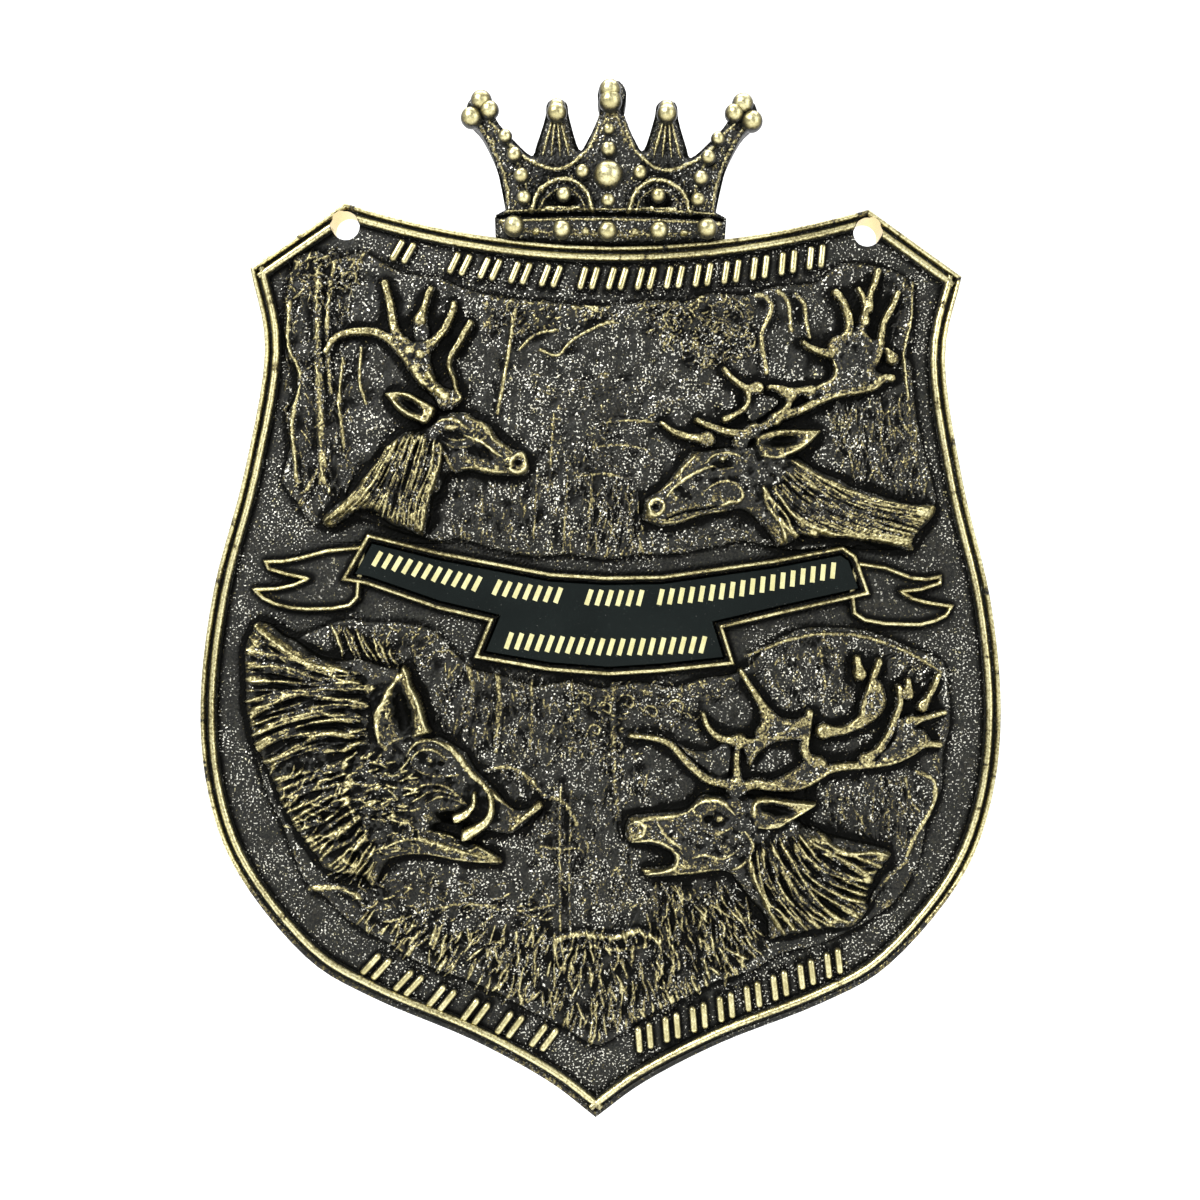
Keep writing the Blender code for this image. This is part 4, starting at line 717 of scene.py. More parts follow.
RIGHT_TAIL = [(44.9, -59.7), (50, -60.4), (54.8, -62.2), (57.4, -62.4), (59.8, -61.9),
              (59.8, -63), (56.4, -64.2), (52.8, -64.6), (55, -65.9), (57.3, -66.5),
              (61.9, -67.2), (61, -68.8), (59, -69.8), (56.4, -70.5), (54, -70.5),
              (50, -70.4), (46.5, -69.8), (44.6, -68.6), (44.2, -65.4)]

CROWN_HALF = [(20.8, 2.0), (18.9, 3.0), (19.7, 7.0), (21.0, 12.0), (23.6, 17.2), (26.0, 20.0),
              (25.6, 22.6), (23.4, 23.4), (21.6, 21.8), (20.6, 19.0), (18.0, 16.0),
              (14.4, 12.8), (13.4, 14.8), (12.0, 19.4), (11.6, 22.2), (9.9, 23.1),
              (8.1, 22.2), (7.6, 19.6), (5.8, 14.0), (4.3, 15.6), (2.2, 20.4), (2.6, 24.0),
              (1.6, 26.1), (0.0, 26.6)]
CROWN_PEARLS = [(-0.4, 23.8, 2.0), (-0.3, 21.9, 2.1), (9.8, 20.8, 1.55), (9.8, 19.7, 1.85),
                (23.4, 22.3, 1.95), (21.9, 20.5, 1.75), (25.1, 19.2, 1.95), (8.6, -1.0, 1.75),
                (17.2, -0.4, 1.9), (-0.5, -1.2, 1.8), (-0.5, 16.9, 1.1), (-0.5, 13.3, 1.45),
                (-0.5, 8.8, 2.75), (5.1, 9.3, 1.35), (-0.5, 4.2, 1.35), (19.0, 15.7, 1.3),
                (17.3, 12.3, 1.4), (16.0, 8.5, 1.45), (15.5, 4.7, 1.35), (8.4, 5.2, 1.35)]

TOP_ROW_HEIGHT = -9.0
TOP_ROW_BEND = 318.0
TOP_ROW_RUNS = [(-37.2, -37.2, 1), (-27.0, -10.6, 4), (-3.8, 37.0, 9)]
# Rows as a guide, a count of strokes and their height, as a share of a raised stroke's or in full
LOWER_ROWS = [([(-39.8, -133.2), (-28.0, -138.8), (-9.5, -145.6)], 6, 1.15),
              ([(8.6, -145.4), (26.0, -138.6), (42.4, -131.6)], 8, 1.1)]
PRINTED_ROWS = [([(-40.4, -59.9), (-20, -64.6), (0, -66.4), (20, -65.2), (41.4, -61.0)], 46, 2.9,
                 (11, 19, 20, 27)),
                ([(-16.6, -74.3), (0.7, -75.2), (18.2, -74.6)], 20, 3.1, ())]


def antlers(r, tines, webs):
    """Rounded, worn tines, each with a shallow groove beside its ridge, and dull webs."""
    for outline, rise in webs:
        r.form(outline, FIELD, rise, WEB_ROUND, grain=WEB_GRAIN)
    for path, root, tip in tines:
        r.bar(path[::-1], root, FIELD + TINE_RISE, tip, polish=TINE_POLISH, flare=TINE_FLARE)
        if len(path) > 4:
            r.mark([(x + 0.3, z + 0.1) for x, z in path[1:-1]], 0.35, -0.18)


def ear(r, outline, hollow, size, depth, turn, polish=0.5):
    """An ear: a raised rim round a deep, dark inside."""
    r.form(outline, FIELD, EAR_RISE, EAR_ROUND, grain=0.3)
    r.swell(hollow, size, -depth, turn)
    rim = offset(smooth(outline, closed=True, steps=3), EAR_RIM)
    r.mark(np.vstack([rim, rim[:1]]), 0.9, 0.35, polish, steps=0, point=False)


def stag(r):
    """The red deer stag at the upper left, looking right."""
    antlers(r, STAG_TINES, STAG_WEBS)
    for x, z in STAG_KNOBS:
        r.swell((x, z), (1.2, 1.0), 0.8, polish=0.9)
    r.form(STAG_OUTLINE, FIELD, HEAD_RISE, HEAD_ROUND, grain=0.7)
    r.swell((-32.5, -45), (6.5, 9), 0.6, 20)
    r.swell((-21.9, -40.9), (3.4, 1.5), -0.9, -25)
    r.swell((-27.6, -37.6), (3.2, 2.0), -0.5)
    r.swell((-27.3, -36.5), (1.5, 0.85), 0.95, 0, polish=0.9)
    r.mark([(-29.8, -35.4), (-28, -34.9), (-26.2, -35.2), (-24.4, -36.6)], 0.9, 0.5, 0.4)
    r.mark([(-29.4, -37), (-28.4, -38), (-26.6, -38.7), (-24.3, -38.4)], 0.7, 0.45, 0.3)
    r.mark([(-29, -38.6), (-27, -39.9), (-24.4, -39.8), (-22.6, -39)], 0.6, 0.35, 0.2)
    r.mark([(-25, -37.8), (-23.4, -38.3), (-21.4, -39.2), (-19.9, -40.4), (-18.1, -41.5)],
           1.0, 0.6, 0.7)
    r.mark([(-24, -34.6), (-21, -36.2), (-19, -38.6), (-16.4, -40.6)], 1.6, 0.35, 0.35)
    r.mark([(-29.3, -39.2), (-28.4, -40.9), (-27.2, -43.3), (-26.4, -44.2)], 0.9, 0.55, 0.4)
    r.mark([(-25.4, -43.6), (-22.8, -43.5), (-20.4, -44.1), (-17.4, -44.2)], 1.0, 0.4, 0.5)
    for x, z in ((-22.8, -43.1), (-20.8, -43.8), (-24, -42.4), (-19, -43.4)):
        r.swell((x, z), (0.7, 0.6), 0.35, polish=0.5)
    r.mark([(-16.6, -42.6), (-15.8, -41.2), (-14.6, -40.7), (-13.9, -41.9), (-13.8, -43.5),
            (-15.2, -44.3), (-16.5, -43.8), (-16.6, -42.6)], 0.9, 0.55, 0.75, point=False)
    r.swell((-15.2, -42.5), (0.9, 0.8), -0.9)
    r.mark([(-17.6, -43.2), (-15.8, -43.4)], 0.5, -0.5)
    ear(r, STAG_EAR, (-34.8, -32.4), (3.3, 1.3), 1.7, -32)
    r.mark([(-37.8, -31.6), (-35.6, -34), (-32.4, -35.4)], 1.2, 0.4, 0.6)
    r.strands(STAG_NECK, 22, 3, 0.85, 0.85, 11, polish=0.5)
    r.strands(STAG_NECK, 30, 6, 0.45, 0.35, 14, polish=0.2)
    r.scattered([(-41, -42), (-29, -40), (-31, -53), (-47, -52)], 60, 2.4, 0.4, 0.3,
                lambda x, z: math.degrees(math.atan2(-12, (x + 34) * 1.2)), 12, polish=0.3)
    r.scattered([(-24, -34.6), (-20, -37), (-17, -41), (-21, -40), (-26, -37)], 46, 0.8, 0.45,
                0.25, lambda x, z: -45, 13, 0.4, polish=0.55)


def buck(r):
    """The fallow buck at the upper right, looking left."""
    antlers(r, BUCK_TINES, BUCK_WEBS)
    r.form(BUCK_PALM, FIELD, 1.7, 1.5, grain=0.8)
    rim = smooth(BUCK_PALM[:6], steps=3)
    r.mark(rim + (0.5, -0.3), 0.9, 0.4, 0.5)
    r.form([(25.3, -28.6), (28, -29.2), (31.4, -30.6), (30, -32.6), (26.6, -34.8),
            (25.2, -32.6)], FIELD, 0.9, 1.0)
    r.form(BUCK_OUTLINE, FIELD, HEAD_RISE, HEAD_ROUND, grain=0.6)
    r.swell((21.3, -41.9), (3.2, 1.6), -0.8, 18)
    r.swell((21.2, -41.5), (0.8, 0.65), 1.0, polish=0.9)
    r.mark([(18, -42.4), (19.4, -40.9), (21.6, -40.2), (24.2, -40.8), (25.4, -42)], 0.7, 0.5, 0.35)
    r.mark([(18.6, -42.4), (21, -43.2), (23.6, -42.8)], 0.6, 0.4, 0.2)
    r.mark([(20, -42.7), (18, -43.2), (15.2, -44.6), (12.4, -46.8), (11.2, -48.4)], 0.9, 0.5, 0.5)
    r.mark([(16.6, -40.6), (14.4, -42.8), (12.2, -45.4), (9.6, -47.6)], 1.0, 0.3, 0.3)
    r.swell((14.6, -47.6), (3.4, 1.5), -0.5, -30)
    r.swell((21.5, -47.6), (3.6, 2.2), 0.5)
    r.mark([(18, -47.2), (20.4, -45.6), (23.2, -45.6), (24.8, -47.2), (24.4, -48.8), (22, -49.4),
            (19.2, -50.4)], 0.9, 0.5, 0.45)
    r.mark([(11.2, -52.3), (14, -51.1), (18, -50.3), (21, -49.8)], 0.7, -0.7)
    r.mark([(10.4, -53), (14, -52.6), (18, -51.3), (23, -50.4)], 0.9, 0.35, 0.55)
    r.mark([(8.4, -51), (8.2, -49.4), (9.6, -48.6), (10.8, -49.6), (10.4, -51), (9.2, -51.6),
            (8.4, -51)], 0.8, 0.5, 0.75, point=False)
    r.swell((9.4, -50.1), (0.9, 0.75), -0.9)
    ear(r, BUCK_EAR, (32, -38), (4.3, 1.5), 1.8, 8, 0.1)
    r.mark([(28, -40.8), (31, -41), (34, -40), (36.4, -38.4), (38.4, -36.2)], 0.9, 0.6, 0.8)
    r.mark([(29, -37.6), (31.6, -37), (34, -37)], 0.4, 0.4, 0.3)
    r.strands(BUCK_NECK[:4], 30, 6, 0.7, 0.7, 21, polish=0.55)
    r.strands(BUCK_NECK[3:], 6, 2, 1.2, 0.8, 22, wander=0.6, polish=0.6)
    r.swell((31.6, -53.6), (2.6, 2.6), 0.5, polish=0.3)
    r.scattered([(34, -42), (58, -49), (55, -56), (36, -53)], 110, 2.6, 0.38, 0.3,
                lambda x, z: -24, 23, polish=0.35)
    r.scattered([(15, -41), (26, -39), (26, -45), (12, -50), (9, -49)], 40, 0.9, 0.45, 0.2,
                lambda x, z: 40, 24, 0.4, polish=0.35)
    r.swell((57.2, -50.4), (2.4, 2.0), 0.5, polish=0.7)


def boar(r):
    """The boar at the lower left, looking right and down."""
    r.form(BOAR_OUTLINE, FIELD, BOAR_RISE, BOAR_ROUND, grain=0.5)
    r.swell((-34, -103), (8, 6), 0.6, -20)
    r.mark([(-30, -92.2), (-26.6, -93.6), (-22.6, -98.4), (-18.6, -102), (-15.4, -104.6)],
           1.4, 0.5, 0.6)
    r.swell((-22.6, -100.2), (3.4, 1.6), -0.4, -45)
    r.swell((-27, -106), (3.2, 1.5), -2.0, -12)
    r.bar([(-10.8, -103.7), (-12.3, -104.9), (-14, -106.3), (-15.6, -107.9)], 1.5, FIELD + 2.5,
          0.7, FIELD + 1.0, 0.1)
    r.swell((-17.6, -106.4), (2.4, 1.6), -0.6, -40)
    r.swell((-30.4, -95.7), (2.4, 1.3), -0.6, -20)
    r.swell((-30.4, -95.8), (1.0, 0.85), 0.85, polish=0.8)
    r.swell((-28.3, -96.3), (0.9, 0.6), -0.8)
    r.mark([(-34.4, -95), (-33.4, -93.2), (-31.6, -92.2), (-29.2, -92.4), (-26.8, -94)],
           0.9, 0.6, 0.6)
    r.mark([(-33.8, -96.6), (-33, -94.8), (-31.2, -93.8), (-29, -94.2), (-27.4, -95.6)],
           0.7, 0.5, 0.4)
    r.mark([(-33.4, -97), (-31, -98.2), (-28, -98.6), (-25, -98.2)], 0.6, 0.45, 0.25)
    for lift in (0, 1.3, 2.6):
        r.mark([(-33.4 + lift, -101.6 - lift * 0.7), (-31 + lift, -100 - lift * 0.8),
                (-27.4 + lift, -100.4 - lift), (-24.4 + lift * 0.6, -102.4 - lift * 0.8)],
               0.7, 0.45, 0.35)
    for path, root in (([(-22.3, -101.6), (-22.4, -103.4), (-23.6, -105), (-25.4, -106)], 1.5),
                       ([(-19.6, -101.6), (-19.2, -104.4), (-20.4, -106.8), (-23.8, -109)], 1.9)):
        r.bar(path, 0.9, FIELD + TUSK_RISE, root * 1.3, FIELD + TUSK_FOOT, polish=0.7)
    ear(r, BOAR_EAR, (-35.4, -87.2), (2.3, 6.4), 2.2, 12)
    r.mark([(-36, -80.4), (-38.2, -84.6), (-39.8, -88.6), (-39.4, -92.6)], 1.7, 0.5, 0.7)
    r.mark([(-34.8, -80.4), (-33.2, -84), (-32, -87.4), (-31, -90.4)], 1.3, 0.5, 0.75)
    r.scattered([(-36, -80), (-38.6, -85), (-40, -91), (-37.6, -93), (-36.6, -86)], 26, 1.0,
                0.4, 0.3, lambda x, z: 70, 31, 0.3, polish=0.6)
    r.mark([(-30, -108.6), (-26, -109.4), (-22, -111), (-18.6, -113)], 0.9, 0.5, 0.6)
    r.mark([(-39, -111.8), (-36, -110.4), (-33, -109.8), (-29.6, -110.4), (-25.4, -111.6),
            (-21, -113)], 0.8, 0.4, 0.4)
    r.mark([(-18, -113.8), (-22, -113.9), (-27, -113.3), (-33, -112.6), (-38.6, -113.6)],
           0.8, 0.4, 0.45)
    r.mark([(-44.6, -111.6), (-45.4, -113.4), (-43.6, -114.6), (-42, -113.4), (-42.6, -111.8),
            (-44.6, -111.6)], 0.9, 0.5, 0.6, point=False)
    r.swell((-43.6, -113), (0.8, 0.8), -0.7)
    boar_coat(r)


def boar_coat(r):
    """The boar's mane, crest, ruff and chin hair."""
    r.strands(BOAR_MANE, 14, 2, 2.0, 1.05, 32, wander=1.1, polish=0.5)
    r.strands(BOAR_MANE, 28, 6, 0.6, 0.5, 33, wander=1.0, polish=0.35)
    r.strands(BOAR_CREST, 8, 1, 1.0, 0.9, 34, polish=0.7)
    r.strands(BOAR_RUFF, 16, 3, 1.2, 0.8, 35, wander=0.5, polish=0.6)
    r.form([(-44, -94.6), (-42, -95.4), (-39.4, -98), (-38, -102), (-40, -106), (-42.4, -106),
            (-44.6, -102.8), (-45.4, -99)], FIELD + 1.2, 1.6, 1.5)
    r.mark([(-43.4, -94.4), (-45, -96), (-45.4, -97.8), (-44.4, -99.6), (-45.4, -102.3),
            (-44, -104.5), (-43.2, -106.9)], 2.2, 0.7, 0.75)
    r.scattered([(-43.6, -95), (-37, -95), (-31, -99), (-33, -107), (-42, -108), (-45.4, -101)],
                70, 2.4, 0.75, 0.55, lambda x, z: 10 + (z + 100) * 3, 36, 0.25, polish=0.75)
    r.scattered([(-42, -109), (-33, -107.6), (-24, -109.6), (-22, -112), (-33, -112), (-41, -113)],
                60, 1.7, 0.5, 0.4, lambda x, z: 25, 37, 0.35, polish=0.55)
    r.scattered([(-58, -98), (-46, -97), (-44, -108), (-50, -113), (-56, -107)], 60, 2.8, 0.8,
                0.6, lambda x, z: 28, 38, 0.3, polish=0.7)
    r.strands([[(-43.4, -112), (-45.4, -115), (-48.6, -116.8)],
               [(-39.4, -113.4), (-40.6, -116.2), (-42.4, -119)]], 6, 1, 0.9, 0.7, 39, polish=0.6)


def roaring_stag(r):
    """The roaring stag at the lower right, looking left with its mouth open."""
    antlers(r, ROAR_TINES, ROAR_WEBS)
    r.form(ROAR_CROWN, FIELD, 1.5, 1.4, grain=0.8)
    r.form(ROAR_OUTLINE, FIELD, HEAD_RISE, HEAD_ROUND, grain=0.75)
    r.swell((20.8, -105.6), (3.0, 1.8), -0.8)
    r.swell((21.4, -105.6), (1.1, 0.95), 1.0, polish=0.85)
    r.swell((19.4, -105.6), (0.9, 0.9), -0.6)
    r.mark([(15.9, -104.3), (17.8, -102.8), (20, -102.1), (22.2, -102.8), (24.1, -104.7)],
           1.1, 0.6, 0.55)
    r.mark([(18.4, -107.6), (21, -108.2), (23.6, -107)], 0.7, 0.45, 0.35)
    r.mark([(15.6, -104.6), (12, -105.4), (8, -105.8), (6, -106.4)], 1.1, 0.4, 0.45)
    r.mark([(5.2, -107), (6.6, -106.2), (8, -107), (7.6, -108.8), (5.8, -109.6)], 0.9, 0.5, 0.7)
    r.swell((6.5, -107.9), (0.8, 0.75), -0.8)
    r.mark([(5.9, -110), (9.6, -109.7), (12.2, -110.7), (13.9, -112.2), (13.7, -114),
            (12.2, -115), (10, -115.5), (8.2, -115.8)], 1.0, 0.6, 0.7)
    r.mark([(10.4, -106.5), (11.9, -108.7), (13.7, -110.2), (14.8, -111)], 1.0, 0.5, 0.55)
    r.mark([(16.4, -112.6), (19, -112), (22, -112.6), (25, -111)], 0.7, 0.4, 0.45)
    r.mark([(25.9, -107.6), (27.4, -109.9), (27, -111.7), (25.6, -113.6), (23.7, -114.7)],
           1.1, 0.55, 0.55)
    r.mark([(13, -115.9), (17, -115.4), (21, -114.9), (24.4, -115.4)], 0.9, 0.35, 0.5)
    ear(r, ROAR_EAR, (31.6, -103.8), (3.9, 1.4), 1.8, -12)
    r.mark([(28.4, -107), (31.6, -106.9), (35, -105), (38.4, -102.9)], 1.0, 0.5, 0.75)
    r.strands(ROAR_NECK, 19, 4, 1.3, 0.9, 41, wander=1.0, polish=0.5)
    r.strands(ROAR_NECK, 30, 6, 0.6, 0.45, 42, wander=1.0, polish=0.45)
    r.scattered([(14, -104), (25, -102), (26, -113), (14, -115), (13, -110)], 120, 1.0, 0.4,
                0.22, lambda x, z: -20, 43, 0.5, polish=0.45)
    r.swell((51, -112), (1.6, 1.2), 0.4, polish=0.7)


def growth(r, table):
    """Scattered strokes of foliage, bark and ground, one region after the other."""
    for region, count, length, width, rise, angle, seed, curl, polish in table:
        r.scattered(region, count, length, width, rise, lambda x, z, a=angle: a, seed, curl,
                    polish)


def woods(r):
    """Trees, foliage and ground behind the two upper heads."""
    for path, width in UPPER_TREES:
        r.mark(path, width, 0.6, 0.5, point=False)
    for x, foot in ((-12.2, -57), (-6.8, -58.4), (-2.4, -58), (-9.4, -47)):
        r.mark([(x + 0.4, foot + 14), (x, foot + 7), (x - 0.3, foot)], 0.8, 0.4, 0.25)
    growth(r, UPPER_GROWTH)
    for z, x0, x1 in ((-35, -1, 12), (-39.4, -2, 8), (-44.6, -4, 4)):
        r.mark([(x0, z), ((x0 + x1) / 2, z + 0.5), (x1, z - 0.3)], 0.7, 0.4, 0.4)
    r.mark([(-51.4, -44), (-53, -47.4), (-54.6, -48.4)], 1.2, 0.5, 0.5)
    r.mark([(-50.6, -44), (-49.4, -47.4), (-48.4, -48.6)], 1.2, 0.5, 0.4)


def fan(x, z):
    """The direction of the grass: it spreads downwards from a place above the field."""
    return math.degrees(math.atan2(z + 62, x * 1.5))


def meadow(r):
    """Trees, bushes, ground and grass behind and below the two lower heads."""
    for path, width, rise, polish in LOWER_TREES:
        r.mark(path, width, rise, polish, point=False)
    for x, z, size in ((-3, -84.4, 1.6), (0.8, -86, 1.4), (4.6, -84.8, 1.7), (9, -86.6, 1.5),
                       (13.6, -85.6, 1.6), (-1, -90, 1.3), (3, -93, 1.2)):
        r.mark([(x - size, z - 0.4), (x - size * 0.4, z + size * 0.6), (x + size * 0.7, z + 0.4),
                (x + size * 0.5, z - size * 0.7), (x - size * 0.3, z - 0.5)], 0.7, 0.5, 0.45)
    growth(r, LOWER_GROWTH)
    r.scattered([(-46, -123), (-30, -126), (-8, -127), (10, -127), (22, -120), (29, -124),
                 (31, -129), (24, -134), (0, -146), (-26, -134), (-38, -128.6)],
                430, 3.4, 0.75, 0.6, fan, 80, 0.12, polish=0.75)
    r.scattered([(10, -118), (26, -119), (30, -129), (20, -133), (8, -130)], 90, 4.2, 0.7, 0.55,
                fan, 81, 0.12, polish=0.6)


def ribbon_ground(r, fine):
    """Levels the ribbon and its tails, calms the ground beside them so that fewer painted glints
    show there, and darkens their edge with patina and painted shade.
    """
    for outline in (LEFT_TAIL, RIGHT_TAIL, RIBBON):
        ring = np.array(shifted(outline))
        part = r.window(ring, TAIL_CALM)
        d = r.inside_distance(ring, part)
        calm = np.clip(0.15 - d / TAIL_CALM, 0.15, 1)
        r.grain[part] *= np.where(r.h[part] < GROUND + STEP_UP, calm, 1)
        level = np.where(d > 0, RIBBON_LEVEL, r.h[part]) + 0.3 * fine[part] * (d > 0)
        r.h[part] = np.where(d > -0.2, level, r.h[part])
        r.grain[part] = np.where(d > -0.4, 0.3, r.grain[part])
        r.polish[part] = np.where(d > -0.4, 0, r.polish[part])
        # Patina and painted shade along the ribbon's and tails' edge
        r.darken(np.vstack([ring, ring[:1]]), 0.9, 1.7)


def carved_face():
    """The whole face within the rim, over one even grid."""
    x, z = np.meshgrid(np.arange(*FACE_SPAN, CELL), np.arange(*FACE_RISE, CELL))
    r = Relief(x, z, GROUND)
    r.form(UPPER_FIELD, GROUND, FIELD - GROUND, FIELD_SLOPE, steps=2)
    r.form(LOWER_FIELD, GROUND, FIELD - GROUND, FIELD_SLOPE, steps=2)
    woods(r)
    meadow(r)
    r.h += waves(x.shape, CELL, GROUND_WAVES) * (r.h > GROUND + LEAST_STEP)
    for figure in (stag, buck, boar, roaring_stag):
        figure(r)
    body = np.clip(r.h - FIELD - BODY_START, 0, 1)
    # The grain sets the grit's depth and how many painted glints show: in streaks on the fields
    # and figures, in patches on the low ground
    streaks = 0.76 + 0.36 * mottle(x.shape, 2.4 / CELL, 6, (1.0, 3.0))
    patches = 0.74 + 0.2 * mottle(x.shape, 6.0 / CELL, 7)
    r.grain *= np.clip(np.where(r.h > GROUND + STEP_UP, streaks, patches), 0.12, 1.1)
    r.h += body * waves(x.shape, CELL, BODY_WAVES)
    fine = waves(x.shape, CELL, FACE_GRIT)
    r.h += fine * np.clip(r.grain, 0.25, 1)
    ribbon_ground(r, fine)
    # Patina and painted shade along the rim's foot and beside each raised stroke
    rim = offset(shield_outline(4), RIM_WIDTH)
    r.darken(np.vstack([rim, rim[:1]]), 0.3, 1.3)
    for x0, z0, lean, tall in raised_stroke_places():
        run = np.array((-math.sin(lean), math.cos(lean))) * tall / 2
        r.darken(np.array([(x0, z0) - run, (x0, z0) + run]), 0.8, 1.6)
    soft = SOFT_TOP + SOFT_ROOM * np.tanh((r.h - SOFT_TOP) / SOFT_ROOM)
    r.h = np.where(r.h > SOFT_TOP, soft, r.h)
    recess = offset(shifted(RIBBON), PLATE_INSET - PLATE_GAP)
    part = r.window(recess, 0.3)
    r.h[part] = np.where(r.inside_distance(recess, part) > 0, RECESS_FLOOR, r.h[part])
    return r


def finish_values(r, cell):
    """How much brass, how many painted glints, and how much patina and painted shade in hollows
    show at each place.
    """
    near, far = softened(r.h, NEAR_BLUR / cell), softened(r.h, FAR_BLUR / cell)
    ridge = NEAR_RIDGE * (r.h - near) + FAR_RIDGE * (near - far)
    wear = RIDGE_WEAR * np.tanh(RIDGE_GAIN * ridge) - PATINA_HOLD + POLISH_WEAR * r.polish
    wear = np.clip(wear, 0, 1) * (1 - CORNER_PATINA_AND_SHADE * r.dark)
    # Hollows take patina and painted shade, darker the deeper they lie
    deep = softened(r.h, HOLLOW_BLUR / cell) - r.h
    hollow = np.clip(deep * HOLLOW_GAIN - HOLLOW_START, 0, 1)
    hollow = np.maximum(hollow, CORNER_HOLLOW * r.dark)
    # Fewer painted glints where a hollow is shaded
    grain = np.clip(r.grain * (1 - HOLLOW_DULLS * hollow), 0, 1)
    return {"wear": wear, "hollow": hollow, "grain": grain}


def cleaned(keep):
    """A mask of cells without cells that touch only at a corner."""
    for _ in range(4):
        a, b, c, d = keep[:-1, :-1], keep[:-1, 1:], keep[1:, :-1], keep[1:, 1:]
        pinch = (a & d & ~b & ~c) | (b & c & ~a & ~d)
        if not pinch.any():
            break
        rows, columns = np.nonzero(pinch)
        keep[rows, columns] = keep[rows, columns + 1] = False
        keep[rows + 1, columns] = keep[rows + 1, columns + 1] = False
    return keep


def nearest_on(ring, points):
    """The nearest place to each point on a closed outline."""
    best = np.full(len(points), np.inf)
    found = points.copy()
    for a, b in zip(ring, np.roll(ring, -1, 0)):
        run = b - a
        t = np.clip((points - a) @ run / max(run @ run, 1e-9), 0, 1)
        place = a + t[:, None] * run
        d = np.linalg.norm(points - place, axis=1)
        best, found = np.minimum(d, best), np.where((d < best)[:, None], place, found)
    return found


def linked(mesh, *materials):
    """A new object for a finished mesh, with its materials."""
    piece = bpy.data.objects.new(mesh.name, mesh)
    bpy.context.scene.collection.objects.link(piece)
    for material in materials:
        mesh.materials.append(material)
    return piece


def add_values(mesh, values):
    """Stores one number at each point of a mesh for each named finish."""
    for name, numbers in values.items():
        mesh.attributes.new(name, "FLOAT", "POINT").data.foreach_set(
            "value", np.asarray(numbers, np.float32))


def relief_piece(name, r, values, keep, foot, rings=(), drilled=None):
    """One closed piece of a carved face: its kept cells, walls down to its foot, and a flat back.

    Edge points near one of the rings are moved onto it, so that the edge runs smoothly.
    """
    used, quads, edges = cells(cleaned(keep), r.h.shape)
    places = np.stack([r.x[used], r.z[used]], 1)
    border = np.unique(edges)
    for ring, reach in rings:
        target = nearest_on(ring, places[border])
        near = np.linalg.norm(target - places[border], axis=1) < reach
        places[border[near]] = target[near]
    below = {k: len(places) + n for n, k in enumerate(border.tolist())}
    walls = [(b, a, below[a], below[b]) for a, b in edges.tolist()]
    top = np.stack([places[:, 0], -r.h[used], places[:, 1]], 1)
    under = np.stack([places[border, 0], np.full(len(border), -float(foot)),
                      places[border, 1]], 1)
    points = np.concatenate([top, under])
    backs = flat_back(closed_loops(edges, below), points)
    mesh = bpy.data.meshes.new(name)
    mesh.from_pydata((points * MM).tolist(), [], quads.tolist() + walls + backs)
    mesh.polygons.foreach_set("use_smooth",
                              [True] * len(quads) + [False] * (len(walls) + len(backs)))
    if drilled is not None:
        middle = np.array([places[list(e)].mean(0) for e in edges])
        bare = np.zeros(len(edges), bool)
        for hole in drilled:
            bare |= np.linalg.norm(middle - hole, axis=1) < HOLE_RADIUS + CELL
        mesh.polygons.foreach_set("material_index",
                                  [0] * len(quads) + bare.astype(int).tolist() + [0] * len(backs))
    add_values(mesh, {key: np.concatenate([grid[used], np.zeros(len(border))])
                      for key, grid in values.items()})
    set_normals(mesh, r, used, border, sum(len(face) for face in backs))
    return mesh


def cells(keep, shape):
    """The grid points that the kept cells use, the cells as faces, and their outer edges."""
    used = np.zeros(shape, bool)
    for rows in (slice(0, -1), slice(1, None)):
        for columns in (slice(0, -1), slice(1, None)):
            used[rows, columns] |= keep
    number = np.full(shape, -1)
    number[used] = np.arange(used.sum())
    i, j = np.nonzero(keep)
    quads = np.stack([number[i, j], number[i, j + 1], number[i + 1, j + 1], number[i + 1, j]], 1)
    framed = np.pad(keep, 1)
    edges = []
    for side, (di, dj) in enumerate(((-1, 0), (0, 1), (1, 0), (0, -1))):
        bare = ~framed[1 + i + di, 1 + j + dj]
        edges.append(np.stack([quads[bare, side], quads[bare, (side + 1) % 4]], 1))
    return used, quads, np.concatenate(edges)


def closed_loops(edges, below):
    """The back's closed outlines, shortest first, from the front's outer edges."""
    following = dict(edges.tolist())
    loops = []
    while following:
        at = next(iter(following))
        loop = []
        while at in following:
            loop.append(below[at])
            at = following.pop(at)
        loops.append(loop)
    loops.sort(key=len)
    return loops


def set_normals(mesh, r, used, border, back_corners):
    """Smooth normals that follow the carved face, and straight ones on the flat back."""
    up = np.gradient(r.h, r.z[1, 0] - r.z[0, 0], axis=0)[used]
    across = np.gradient(r.h, r.x[0, 1] - r.x[0, 0], axis=1)[used]
    normals = np.stack([-across, -np.ones(len(up)), -up], 1)
    normals /= np.linalg.norm(normals, axis=1)[:, None]
    normals[border] = 0
    mesh.normals_split_custom_set_from_vertices(
        np.concatenate([normals, np.zeros((len(border), 3))]).tolist())
    corners = np.empty((len(mesh.loops), 3), np.float32)
    mesh.corner_normals.foreach_get("vector", corners.ravel())
    corners[-back_corners:] = (0, 1, 0)
    mesh.normals_split_custom_set(corners.tolist())


